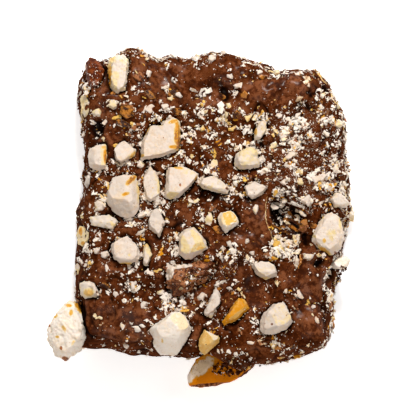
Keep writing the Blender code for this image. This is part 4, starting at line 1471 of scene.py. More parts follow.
def chopped_almonds() -> list[ChoppedAlmond]:
    """Every chopped almond of the model, with its cuts and patches as seen from above.

    Returns:
        The almonds.
    """
    gold, skin, grey, cream = Tone
    made = [
        ChoppedAlmond(
            "almond_chunk_crown",
            (Cut(-10.0, 12.4, 0.25, 265, 0.03), Cut(-12.0, 12.0, 0.0, 190, 0.08)),
            (Tint(gold, -6.7, 13.2, 0.7, 3.4, 0.95), Tint(gold, -7.2, 10.9, 1.3, 0.4, 0.95),
             Tint(skin, -6.7, 12.8, 0.7, 3.0, 0.46), Tint(gold, -7.4, 16.0, 1.2, 0.4, 0.85, 20.0),
             Tint(gold, -12.7, 14.2, 0.3, 1.6, 0.75, -30.0), Tint(gold, -9.9, 15.4, 0.5, 0.3, 0.8),
             Tint(gold, -13.6, 9.2, 0.5, 0.4, 0.7)),
            bites=((-10.3, 16.3, 1.3),), dents=6,
        ),
        ChoppedAlmond(
            "almond_chunk_left_high",
            (Cut(-21.9, 9.0, 0.25, 180, 0.12), Cut(-21.9, 9.0, 0.0, 5, 0.35, gold, 0.3)),
            (Tint(gold, -21.0, 9.4, 0.4, 2.1, 0.95), Tint(skin, -20.9, 8.8, 0.3, 1.4, 0.5),
             Tint(gold, -21.2, 10.8, 0.6, 0.5, 0.6)),
        ),
        ChoppedAlmond(
            "almond_chunk_small_left",
            (Cut(-17.4, 9.8, 0.2, 100, 0.08), Cut(-16.6, 9.0, 0.0, 315, 0.55, gold, 0.16)),
            (Tint(gold, -15.5, 9.4, 0.9, 0.34, 0.68, 50.0),),
        ),
        ChoppedAlmond(
            "almond_chunk_upright",
            (Cut(-12.2, 3.6, 0.2, 180, 0.12), Cut(-11.7, 3.6, 0.0, -10, 0.32, gold, 0.12)),
            (Tint(gold, -10.4, 3.0, 0.3, 1.8, 0.4),),
        ),
        ChoppedAlmond(
            "almond_chunk_middle",
            (Cut(-6.4, 3.8, 0.25, 120, 0.05), Cut(-4.6, 4.4, 0.0, 55, 0.22, gold, 0.1),
             Cut(-5.4, 2.6, 0.0, 300, 0.3), Cut(-7.4, 2.0, 0.0, 262, 1.0, gold, 0.34)),
            (Tint(skin, -6.1, 3.4, 0.24, 0.38, 0.9), Tint(gold, -2.7, 4.2, 0.5, 1.1, 0.95, 20.0),
             Tint(gold, -6.6, 6.8, 1.2, 0.3, 0.8, -10.0)),
        ),
        ChoppedAlmond(
            "almond_chunk_great_left",
            (Cut(-16.9, 0.4, 0.3, 135, 0.1), Cut(-16.9, 0.4, 0.0, -5, 0.42), Cut(-16.9, 0.4, 0.0, 258, 0.75)),
            (Tint(gold, -15.7, 4.4, 1.7, 0.55, 0.95, 48.0), Tint(skin, -15.7, 4.4, 1.6, 0.5, 0.47, 48.0),
             Tint(gold, -16.8, 1.5, 0.9, 0.4, 0.8, 20.0), Tint(gold, -14.3, 2.6, 0.5, 3.0, 0.4),
             # The grey patch on the front facet, round (-17.8, -1.6), is painted shade.
             Tint(grey, -18.8, 3.2, 1.9, 2.4, 0.55), Tint(grey, -17.8, -1.6, 2.6, 1.4, 0.5)),
        ),
        ChoppedAlmond(
            "almond_sliver_middle",
            (Cut(0.3, 3.4, 0.15, 80, 0.15), Cut(0.3, 2.8, 0.0, 265, 0.55)),
            (Tint(skin, 3.2, 2.6, 0.45, 0.3, 0.8),),
            base=(0.14, 0.0, 0.0),
        ),
        ChoppedAlmond(
            "almond_sliver_left",
            (Cut(-21.0, -3.9, 0.15, 80, 0.2), Cut(-21.0, -4.0, 0.0, 265, 0.4)),
            (Tint(gold, -19.4, -4.4, 0.7, 0.4, 0.4), Tint(skin, -21.8, -4.0, 0.3, 0.25, 0.4)),
            base=(0.12, 0.0, 0.55), dents=12, grain=1.6,
        ),
        ChoppedAlmond(
            "almond_chunk_left_edge", (),
            (Tint(gold, -25.9, -5.6, 0.5, 1.0, 0.95), Tint(gold, -25.4, -8.0, 0.6, 0.5, 0.8),
             Tint(skin, -25.8, -6.8, 0.3, 0.3, 0.5)),
            base=(0.3, 0.0, 0.1), dents=8,
        ),
        ChoppedAlmond(
            "almond_chunk_six_sided",
            # The grey facets falling to the front and the left are painted shade.
            (Cut(-17.0, -9.2, 0.25, 90, 0.06), Cut(-17.0, -11.2, 0.0, 262, 0.7, grey, 0.3),
             Cut(-18.8, -9.8, 0.0, 195, 0.35, grey, 0.3)),
            (Tint(gold, -16.8, -12.2, 1.5, 0.25, 0.5), Tint(gold, -16.2, -10.6, 0.3, 0.4, 0.35)),
        ),
        ChoppedAlmond(
            "almond_chunk_beside",
            (Cut(-12.6, -10.0, 0.1, 0, 0.3),),
            (Tint(gold, -12.7, -8.5, 0.5, 0.7, 0.5),),
            base=(0.2, 0.0, 0.1), dents=10,
        ),
        ChoppedAlmond(
            "almond_chunk_kite",
            (Cut(-11.2, -4.2, 0.15, 185, 0.22), Cut(-11.2, -4.2, 0.0, 0, 0.35)),
            base=(0.0, 0.0, 0.5), dents=12, grain=1.5,
        ),
        ChoppedAlmond(
            "almond_chunk_golden",
            (Cut(-4.2, -7.8, 0.25, 100, 0.1), Cut(-4.6, -8.0, 0.0, 200, 0.36, gold, 0.3),
             Cut(-3.7, -7.0, 0.0, 35, 0.55, gold, 0.34), Cut(-3.5, -8.7, 0.0, -30, 0.66, gold, 0.44),
             Cut(-4.2, -10.0, 0.0, 262, 0.8, gold, 0.2)),
            (Tint(gold, -2.2, -9.2, 1.0, 0.4, 0.6, 20.0),),
            base=(0.06, 0.0, 0.0), dents=2,
        ),
        ChoppedAlmond(
            "almond_chunk_golden_small",
            (Cut(2.8, -3.8, 0.15, 190, 0.3, gold, 0.3), Cut(2.6, -3.8, 0.0, 20, 0.3, gold, 0.52),
             Cut(3.6, -4.8, 0.0, 290, 0.7, gold, 0.44)),
            (Tint(skin, 1.7, -5.4, 0.6, 0.5), Tint(cream, 4.2, -4.2, 0.5, 0.2, 1.0, 20.0)),
            base=(0.1, 0.0, 0.0), look=Look.PALE,
        ),
        ChoppedAlmond(
            "almond_chunk_round",
            (Cut(8.6, 2.6, 0.15, 120, 0.12), Cut(9.6, 2.4, 0.0, 0, 0.4), Cut(8.6, 1.4, 0.0, 265, 0.5)),
            base=(0.0, 0.0, 0.22), dents=8,
        ),
        ChoppedAlmond(
            "almond_chunk_crowned",
            (Cut(6.8, 8.8, 0.1, 130, 0.25), Cut(7.4, 8.6, 0.0, -30, 0.4), Cut(6.0, 8.0, 0.0, 215, 0.35)),
            (Tint(gold, 8.6, 10.2, 0.9, 0.8, 0.3),),
            base=(0.16, 0.0, 0.15), grain=1.3, dents=12,
        ),
        ChoppedAlmond(
            "almond_chunk_slim",
            (Cut(9.9, 14.4, 0.1, -20, 0.4), Cut(9.9, 14.4, 0.0, 165, 0.3)),
            (Tint(gold, 8.8, 14.0, 0.4, 0.9, 0.8),),
            base=(0.14, 0.0, 0.0), dents=8,
        ),
        ChoppedAlmond(
            "almond_chunk_lens",
            (Cut(10.4, -13.6, 0.15, 100, 0.14), Cut(10.4, -13.8, 0.0, 268, 0.4)),
            (Tint(gold, 10.8, -15.1, 1.3, 0.25, 0.45),),
            base=(0.08, 0.0, 0.15), dents=6,
        ),
        ChoppedAlmond(
            "almond_chunk_block",
            # The grey facets falling to the left and the front are painted shade.
            (Cut(12.9, -24.4, 0.15, 60, 0.05, gold, 0.14), Cut(12.9, -24.4, 0.0, 198, 0.38, grey, 0.35),
             Cut(12.9, -24.5, 0.0, 267, 1.05, grey, 0.7)),
            (Tint(skin, 12.0, -24.2, 0.26, 0.26, 0.75),),
            bites=((10.6, -20.4, 0.6), (9.3, -22.6, 0.4)), dents=1,
        ),
        ChoppedAlmond(
            "almond_prism_golden",
            (Cut(4.8, -22.0, 0.15, 126, 0.25), Cut(4.8, -22.0, 0.0, 306, 0.8, gold, 0.66)),
            (Tint(skin, 3.2, -22.0, 1.9, 0.3, 0.5, 40.0),),
            base=(0.88, 0.0, 0.0), slot=Slot.GOLDEN, dents=1,
        ),
        ChoppedAlmond(
            "almond_wedge_golden",
            (Cut(0.7, -27.6, 0.1, 215, 0.3), Cut(0.7, -27.6, 0.0, 41, 0.42, gold, 0.2),
             Cut(0.7, -27.6, 0.0, 322, 0.9, gold, 0.12)),
            (Tint(skin, -1.0, -28.2, 0.13, 0.13),),
            base=(0.6, 0.0, 0.0), slot=Slot.GOLDEN, dents=1,
        ),
        ChoppedAlmond(
            "almond_chunk_front",
            (Cut(-8.0, -24.6, 0.25, 140, 0.08), Cut(-5.7, -25.4, 0.0, 32, 0.5, gold, 0.3),
             # The grey facets falling to the front are painted shade.
             Cut(-5.7, -25.4, 0.0, 313, 0.5, grey, 0.6), Cut(-7.6, -26.8, 0.0, 250, 0.28, grey, 0.3)),
            (Tint(gold, -9.6, -27.4, 0.3, 0.5, 0.5),),
            bites=((-8.4, -21.3, 0.5), (-10.8, -22.5, 0.5)), dents=2, look=Look.PALE,
        ),
        ChoppedAlmond(
            "almond_flake_upright",
            (Cut(0.6, -19.0, 0.1, 0, 0.3), Cut(0.6, -19.0, 0.0, 180, 0.3)),
            base=(0.0, 0.0, 0.4), dents=10, grain=1.4,
        ),
        ChoppedAlmond(
            "almond_coated",
            (Cut(-5.0, -14.6, 0.2, 100, 0.1), Cut(-4.0, -15.8, 0.0, 285, 0.4)),
            (Tint(cream, -8.2, -14.0, 0.9, 1.9, 1.0, -14.0), Tint(cream, -6.0, -12.8, 2.6, 0.5, 1.0, 8.0)),
            base=(0.0, 0.9, 0.5), slot=Slot.SKIN, grain=5.0, fibre=24.0, fibrous=0.55, dents=60,
            dent_sizes=(0.3, 0.8),
        ),
        ChoppedAlmond(
            "almond_chunk_corner",
            (Cut(-29.0, -24.6, 0.15, 130, 0.08), Cut(-29.0, -27.0, 0.0, 262, 0.2)),
            (Tint(gold, -31.0, -22.4, 0.6, 0.5, 0.7), Tint(gold, -27.8, -21.8, 0.45, 0.7, 0.75),
             Tint(gold, -28.2, -20.4, 0.7, 0.4, 0.8), Tint(skin, -32.2, -24.4, 0.3, 0.3),
             Tint(gold, -29.2, -25.0, 0.4, 0.9, 0.5, 30.0), Tint(skin, -29.8, -28.8, 0.3, 0.4),
             Tint(gold, -30.6, -26.6, 0.5, 0.3, 0.7), Tint(gold, -27.4, -27.8, 0.8, 0.3, 0.5, 60.0),
             Tint(skin, -29.0, -31.0, 0.9, 0.6, 0.6), Tint(gold, -26.2, -20.6, 0.8, 1.8, 0.95, 30.0),
             Tint(skin, -26.0, -20.4, 0.5, 1.4, 0.6, 30.0)),
            grain=2.0, dents=24, dent_sizes=(0.4, 1.3), look=Look.PALE,
        ),
        ChoppedAlmond(
            "almond_half",
            (Cut(-1.8, -32.0, 0.0, 110, 0.2), Cut(1.0, -33.2, 0.05, 268, 0.3)),
            (Tint(cream, -1.8, -32.6, 3.0, 1.5, 1.0, 38.0), Tint(grey, -1.6, -32.2, 2.8, 1.4, 1.0, 38.0),
             Tint(gold, -1.6, -32.0, 2.4, 1.2, 0.2, 38.0), Tint(cream, -4.2, -34.6, 0.9, 1.3),
             Tint(skin, 0.6, -36.1, 5.4, 0.42, 1.0, 4.0), Tint(skin, 7.6, -33.6, 3.4, 0.7, 1.0, 36.0)),
            base=(1.0, 0.1, 0.0), slot=Slot.GOLDEN, look=Look.AMBER, grain=0.7, fibre=20.0, fibrous=0.6,
            dents=3,
        ),
        ChoppedAlmond(
            "almond_chunk_right",
            (Cut(23.0, -5.0, 0.15, 120, 0.1), Cut(23.4, -6.0, 0.0, -20, 0.35),
             Cut(22.4, -7.6, 0.0, 250, 0.45)),
            (Tint(gold, 21.9, -2.6, 0.5, 0.8, 0.8), Tint(gold, 23.8, -6.2, 1.1, 1.5, 0.26, 20.0),
             Tint(gold, 20.2, -5.0, 0.4, 1.6, 0.7), Tint(gold, 22.4, -7.6, 0.4, 0.5, 0.75),
             Tint(gold, 25.6, -4.0, 0.3, 1.6, 0.3), Tint(skin, 21.0, -8.6, 0.3, 0.5, 0.6, 30.0),
             Tint(gold, 22.6, -9.8, 2.2, 0.6, 0.75, -35.0), Tint(skin, 24.8, -10.1, 0.6, 0.5, 0.6),
             Tint(gold, 20.4, -6.8, 0.4, 0.4, 0.4)),
            grain=1.3, dents=12,
        ),
        ChoppedAlmond("almond_chunk_right_high", base=(0.05, 0.0, 0.2), grain=1.4, dents=10),
        ChoppedAlmond(
            "almond_chunk_right_low", (),
            (Tint(grey, 25.0, -12.6, 1.2, 0.8, 0.6),),
            dents=8, look=Look.PALE,
        ),
        ChoppedAlmond(
            "almond_chunk_top_left",
            (Cut(-18.0, 25.4, 0.1, 60, 0.05),),
            (Tint(gold, -20.4, 24.6, 0.7, 3.6, 0.85, -6.0), Tint(gold, -19.6, 28.4, 0.9, 0.9, 0.4),
             Tint(gold, -18.8, 24.6, 1.0, 1.6, 0.3)),
            base=(0.14, 0.0, 0.0), grain=1.6, dents=12,
        ),
        ChoppedAlmond(
            "almond_skinned_corner", (),
            (Tint(cream, -25.3, 26.6, 0.5, 2.2), Tint(grey, -22.8, 23.0, 1.8, 1.4, 0.9)),
            base=(0.0, 1.0, 0.0), slot=Slot.SKIN, look=Look.SKINNED, grain=1.8, dents=16,
        ),
        ChoppedAlmond("almond_sliver_left_high", base=(0.26, 0.0, 0.45), dents=8),
        ChoppedAlmond(
            "almond_chunk_hollow_left", (),
            (Tint(gold, -24.2, -17.8, 1.2, 0.9, 0.6), Tint(skin, -22.6, -17.8, 0.2, 0.2)),
            base=(0.12, 0.0, 0.1), bites=((-24.2, -17.4, 0.5),), dents=8,
        ),
    ]
    for order, one in enumerate(made):
        one.shift = 7.0 * order
    return made


class LaidChip(NamedTuple):
    """A chip on the coating: its middle, the way out of the coating there, its sizes and its turn."""

    centre: Vector
    way: Vector
    length: float
    width: float
    turn: float


@dataclass
class AlmondChips(Dressed):
    """Small chips on the coating: the placed ones with their tones, and those strewn by the model's rule."""

    form: SlabForm
    name: str = "almond_chips"
    placed: tuple[Chip, ...] = CHIPS
    scattered: int = 50
    seed: int = 27
    top_share: float = 0.62
    lengths: Range = (1.3, 2.3)
    slimness: Range = (0.55, 0.85)
    low_edge: float = 1.6
    clearance: float = 1.2
    socket_gap: float = 0.33
    nut_clearance: float = 0.8
    corners: int = 5
    height_share: float = 0.55
    levels: tuple[tuple[float, float], ...] = ((-0.2, 1.0), (0.6, 0.66))
    cell: float = 0.12
    nicks: int = 3
    nick_shares: Range = (0.08, 0.2)
    dents: int = 1
    dent_shares: Range = (0.12, 0.26)
    lobes: int = 3
    lobe_corners: int = 7
    lobe_reach: float = 0.36
    waves: Waves = ((0.8, 0.05, 3.0), (0.36, 0.06, 8.0))
    strewn_tones: tuple[Colour, ...] = (
        (0.0, 0.0, 0.1), (0.0, 0.0, 0.4), (0.12, 0.0, 0.0), (0.4, 0.0, 0.0), (0.0, 0.0, 0.0),
        (0.2, 0.35, 0.0),
    )

    def nuts(self) -> list[tuple[Vector, float]]:
        """Where the chopped almonds stand.

        Returns:
            The middle and the reach of each, seen from above.
        """
        found = []
        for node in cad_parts:
            if node != SLAB_NODE:
                low, high = (corner.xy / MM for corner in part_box(node))
                found.append(((low + high) / 2, (high - low).length / 2))
        return found

    def strewn(self) -> list[LaidChip]:
        """Lays chips by chance, clear of the placed ones and of the almonds.

        Returns:
            The chips.
        """
        draw = random.Random(self.seed)
        nuts = self.nuts()
        found: list[LaidChip] = []
        while len(found) < self.scattered:
            angle = draw.uniform(-math.pi, math.pi)
            on_top = draw.random() < self.top_share
            section = math.sqrt(draw.random()) if on_top else draw.uniform(1.0, len(SIDE_PROFILE) - 3.0)
            length = draw.uniform(*self.lengths)
            width = length * draw.uniform(*self.slimness)
            turn = draw.uniform(0.0, 360.0)
            centre, normal = self.form.point(angle, section)
            if centre.z < self.low_edge or self.crowded(centre, found, length, nuts):
                continue
            found.append(LaidChip(centre, normal, length, width, turn))
        return found

    def crowded(
        self, centre: Vector, found: list[LaidChip], length: float, nuts: list[tuple[Vector, float]]
    ) -> bool:
        """Whether a chip here would lie on a placed chip, on a chopped almond or on an earlier chip.

        Args:
            centre: The chip's middle.
            found: The earlier chips.
            length: The chip's length.
            nuts: Middle and reach of the chopped almonds.

        Returns:
            Whether it would.
        """
        for chip in CHIPS:
            if (centre.xy - Vector(chip[:2])).length < (length + chip.length) / 2 + self.socket_gap:
                return True
        for middle, reach in nuts:
            if (centre.xy - middle).length < self.nut_clearance * reach + length / 2:
                return True
        return any((centre - other.centre).length < length + self.clearance for other in found)

    def body(self, chip: LaidChip, draw: random.Random) -> list[Vector]:
        """One chip, half sunk in the coating.

        Args:
            chip: The chip.
            draw: Where the chances come from.

        Returns:
            Its corner points.
        """
        height = self.height_share * chip.width
        tilt = Vector((0.0, 0.0, 1.0)).rotation_difference(chip.way).to_matrix().to_4x4()
        place = Matrix.Translation(chip.centre) @ tilt @ Matrix.Rotation(math.radians(chip.turn), 4, "Z")
        points = []
        for level, scale in self.levels:
            for corner in range(self.corners):
                angle = math.tau * (corner + draw.uniform(-0.28, 0.28)) / self.corners
                reach = scale * draw.uniform(0.82, 1.12)
                points.append(place @ Vector((
                    math.cos(angle) * reach * chip.length / 2,
                    math.sin(angle) * reach * chip.width / 2,
                    level * height * draw.uniform(0.85, 1.15),
                )))
        return points

    def ragged(self, chips: list[LaidChip]) -> list[list[Vector]]:
        """Small lobes that break up the edges of the chips.

        Args:
            chips: The chips.

        Returns:
            The corner points of each lobe.
        """
        chance = random.Random(self.seed + 7)
        found = []
        for centre, way, length, width, turn in chips:
            tilt = Vector((0.0, 0.0, 1.0)).rotation_difference(way).to_matrix()
            for lobe in range(self.lobes):
                angle = math.tau * (lobe + chance.uniform(-0.4, 0.4)) / self.lobes
                spot = Matrix.Rotation(math.radians(turn), 3, "Z") @ Vector((
                    math.cos(angle) * self.lobe_reach * length,
                    math.sin(angle) * self.lobe_reach * width,
                    chance.uniform(0.05, 0.3) * width,
                ))
                reach = chance.uniform(0.14, 0.26) * (length + width) / 2
                found.append([
                    centre + tilt @ (spot + reach * Vector([chance.uniform(-1.0, 1.0) for _ in range(3)]))
                    for _ in range(self.lobe_corners)
                ])
        return found

    def break_up(
        self, points: Array, ways: Array, chips: list[LaidChip], nearest: Array
    ) -> None:
        """Knocks flat nicks and round dents out of each chip.

        Args:
            points: Points of all the chips, which are moved.
            ways: The ways out of them.
            chips: The chips.
            nearest: The number of the chip that each point belongs to.
        """
        chance = np.random.default_rng(self.seed + 3)
        for order, chip in enumerate(chips):
            own = nearest == order
            if own.any():
                depths = tuple(share * chip.length for share in self.nick_shares)
                sizes = tuple(share * chip.length for share in self.dent_shares)
                points[own] = nicked(points[own], self.nicks, depths, chance)
                points[own] = dented(points[own], ways[own], self.dents, sizes, 0.35, chance)

    def build(self) -> Piece:
        """Makes all the chips as one piece.

        Returns:
            The piece.
        """
        draw, pick = random.Random(self.seed + 1), random.Random(self.seed + 2)
        placed = [
            LaidChip(*self.form.point(*self.form.over(chip.x, chip.y)), chip.length, chip.width, chip.turn)
            for chip in self.placed
        ]
        strewn = self.strewn()
        chips = placed + strewn
        tints = [chip[5:] for chip in self.placed] + [pick.choice(self.strewn_tones) for _ in strewn]
        hulls = [self.body(chip, draw) for chip in chips] + self.ragged(chips)
        points, faces = remeshed(hulls, self.cell)
        centres = np.array([tuple(chip.centre) for chip in chips])
        nearest = np.linalg.norm(points[:, None, :] - centres[None], axis=2).argmin(1)
        ways = ways_out(points, faces)
        self.break_up(points, ways, chips, nearest)
        points += ways * rolling(points, self.waves)[:, None]
        self.piece = new_piece(self.name, points, faces)
        tones = np.array(tints)[nearest]
        tones[:, 0] *= 0.5 + 0.7 * smooth_step(noise_at(points, 1.6, 41.0), -0.1, 0.35)
        paint(self.piece, "tone", tones)
        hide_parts(SLAB_NODE)
        return self.piece


class Heap(NamedTuple):
    """An oval of the plan where crumbs of one kind also lie, on the almonds too, and how many."""

    x: float
    y: float
    half_x: float
    half_y: float
    turn: float
    count: int


class Ground:
    """What crumbs can fall on: everything that is made before them."""

    def __init__(self, pieces: Iterable[Piece]) -> None:
        """Keeps the surfaces.

        Args:
            pieces: The pieces that they belong to.
        """
        points, faces = [], []
        for piece in pieces:
            start = sum(len(part) for part in points)
            points.append(points_of(piece.data) / MM)
            faces.append(triangles_of(piece.data) + start)
        self.tree = BVHTree.FromPolygons(np.concatenate(points).tolist(), np.concatenate(faces).tolist())

    def below(self, x: float, y: float) -> tuple[Vector, Vector] | None:
        """The highest point at a place.

        Args:
            x: To the right, in millimetres.
            y: To the back, in millimetres.

        Returns:
            The point and the way out of it, or None beside the piece.
        """
        spot, way, _, _ = self.tree.ray_cast(Vector((x, y, 40.0)), Vector((0.0, 0.0, -1.0)))
        if spot is None:
            return None
        return spot, way if way.z > 0 else -way


@dataclass
class Grains(Dressed):
    """One kind of crumb: many small broken bodies lying on the coating, joined in one piece."""

    name: str
    count: int
    lengths: Range
    slimness: Range
    flatness: Range
    seed: int
    slot: Slot
    sunk: float = 0.2
    lift: float = 0.6
    evenness: float = 0.0
    calm_share: float = 1.0
    golden: float = 0.08
    brown: float = 0.1
    corners: int = 7
    lobes: int = 1
    lobe_reach: Range = (0.36, 0.55)
    lobe_spread: float = 0.26
    variants: int = 14
    steepest: float = -0.35
    low_edge: float = 0.6
    small_bias: float = 1.7
    tumble: float = 0.35
    heaps: tuple[Heap, ...] = ()

    def templates(self, draw: Chances) -> list[tuple[Array, Array]]:
        """Broken bodies of unit size: one or a few lobes run together.

        Args:
            draw: Where the chances come from.

        Returns:
            The points and the triangles of each.
        """
        made = []
        for _ in range(self.variants):
            points, faces = [], []
            for lobe in range(self.lobes):
                ways = draw.normal(size=(self.corners, 3))
                ways /= np.linalg.norm(ways, axis=1)[:, None]
                shrink = 1 + 0.35 * (self.lobes > 1) + 0.3 * lobe
                reach = draw.uniform(*self.lobe_reach, size=(self.corners, 1)) / shrink
                middle = draw.uniform(-self.lobe_spread, self.lobe_spread, size=3) * (self.lobes > 1)
                body = hull_of(middle + ways * reach)
                bmesh.ops.recalc_face_normals(body, faces=body.faces)
                body.verts.index_update()
                start = sum(len(part) for part in points)
                points.append(np.array([tuple(vert.co) for vert in body.verts]))
                faces.append(start + np.array([[vert.index for vert in face.verts] for face in body.faces]))
                body.free()
            made.append((np.concatenate(points), np.concatenate(faces)))
        return made

    def strewn(self, coating: Coating, draw: Chances) -> tuple[Array, Array]:
        """Where the crumbs lie that are strewn over the coating.

        Args:
            coating: What they lie on, clear of the chopped almonds.
            draw: Where the chances come from.

        Returns:
            Their spots and the ways out of the coating there.
        """
        triangles = triangles_of(coating.piece.data)
        corners = coating.points[triangles]
        centres = corners.mean(1)
        faces_out = np.cross(corners[:, 1] - corners[:, 0], corners[:, 2] - corners[:, 0])
        areas = np.linalg.norm(faces_out, axis=1) / 2
        ways = coating.normals[triangles].mean(1)
        ways /= np.linalg.norm(ways, axis=1)[:, None]
        shares = coating.strewing.share(centres, ways)
        shares = shares * (1 - self.evenness) + self.evenness * shares.mean()
        calm = coating.calm[triangles].mean(1)
        shares *= 1 - (1 - self.calm_share) * calm
        shares *= coating.gathered[triangles].mean(1)
        clusters = np.clip(0.2 + 2.8 * noise_at(centres, 1.2, 3.0), 0.08, 2.2)
        clusters *= np.clip(0.5 + 1.9 * noise_at(centres, 3.4, 43.0), 0.2, 1.9)
        weights = areas * shares * clusters * (ways[:, 2] > self.steepest) * (centres[:, 2] > self.low_edge)
        weights = weights * coating.nuts.clear(centres)
        chosen = draw.choice(len(triangles), size=self.count, p=weights / weights.sum())
        mix = draw.dirichlet((1.0, 1.0, 1.0), size=self.count)
        return (corners[chosen] * mix[:, :, None]).sum(1), ways[chosen]

    def heaped(self, ground: Ground, draw: Chances) -> tuple[list, list]:
        """Where the crumbs of the heaps lie, dropped from above.

        Args:
            ground: What they fall on.
            draw: Where the chances come from.

        Returns:
            Their spots and the ways out of the ground there.
        """
        spots, ways = [], []
        for heap in self.heaps:
            turn = Matrix.Rotation(math.radians(heap.turn), 2)
            for _ in range(heap.count):
                angle, reach = draw.uniform(0.0, math.tau), math.sqrt(draw.random())
                place = turn @ Vector((
                    heap.half_x * reach * math.cos(angle), heap.half_y * reach * math.sin(angle),
                ))
                found = ground.below(heap.x + place.x, heap.y + place.y)
                if found:
                    spots.append(tuple(found[0]))
                    ways.append(tuple(found[1]))
        return spots, ways

    def tone_of(self, chance: float, strength: float) -> Colour:
        """How golden, brown and grey a crumb is.

        Args:
            chance: Which kind it is, from 0 to 1.
            strength: How much it is of that kind.

        Returns:
            The three shares.
        """
        plain = self.golden < chance < 1 - self.brown
        golden = 0.0 if plain else 0.2 + 0.8 * strength
        brown = 0.3 + 0.7 * strength if chance > 1 - self.brown else 0.0
        return golden, brown, 0.4 * strength * plain

    def build(self, coating: Coating, ground: Ground) -> Piece:
        """Strews the crumbs.

        Args:
            coating: What most of them lie on.
            ground: What those of the heaps lie on.

        Returns:
            The piece.
        """
        draw = np.random.default_rng(self.seed)
        spots, outward = self.strewn(coating, draw)
        more_spots, more_ways = self.heaped(ground, draw)
        if more_spots:
            spots = np.concatenate([spots, more_spots])
            outward = np.concatenate([outward, more_ways])
        count = len(spots)
        templates = self.templates(draw)
        size = self.lengths[0] + (self.lengths[1] - self.lengths[0]) * draw.random(count) ** self.small_bias
        width = size * draw.uniform(*self.slimness, count)
        thick = width * draw.uniform(*self.flatness, count)
        spin = draw.uniform(0, math.tau, count)
        tilt = draw.normal(scale=self.tumble, size=(count, 2))
        kinds = draw.random((count, 2))
        shapes = [templates[order % len(templates)] for order in range(count)]
        each = [len(shape) for shape, _ in shapes]
        starts = np.cumsum([0, *each])
        all_points, all_faces = [], []
        for order, (shape, faces) in enumerate(shapes):
            out = Vector(outward[order]) + Vector((*tilt[order], 0.0))
            turn = np.array(out.to_track_quat("Z", "Y").to_matrix() @ Matrix.Rotation(spin[order], 3, "Z"))
            scaled = shape * (size[order], width[order], thick[order])
            lift = outward[order] * thick[order] * (0.5 - self.sunk) * self.lift
            all_points.append(scaled @ turn.T + spots[order] + lift)
            all_faces.append(faces + starts[order])
        self.piece = new_piece(self.name, np.concatenate(all_points), np.concatenate(all_faces), smooth=False)
        if self.slot is Slot.CHOCOLATE:
            # Each chocolate crumb gets a small random share of the painted hollow shade and a large share of
            # the painted sheen, which lightens it.
            states = draw.random((count, 3)) * (0.2, 0.6, 0.7) + (0.0, 0.0, 0.3)
            paint(self.piece, "state", np.repeat(states, each, axis=0))
        else:
            tones = np.array([self.tone_of(*kind) for kind in kinds])
            paint(self.piece, "tone", np.repeat(tones, each, axis=0))
        return self.piece


class Shard(NamedTuple):
    """A flat splinter of toffee on the coating, clear from 0, dark, to 1, amber."""

    x: float
    y: float
    length: float
    width: float
    turn: float
    tilt: float
    clear: float


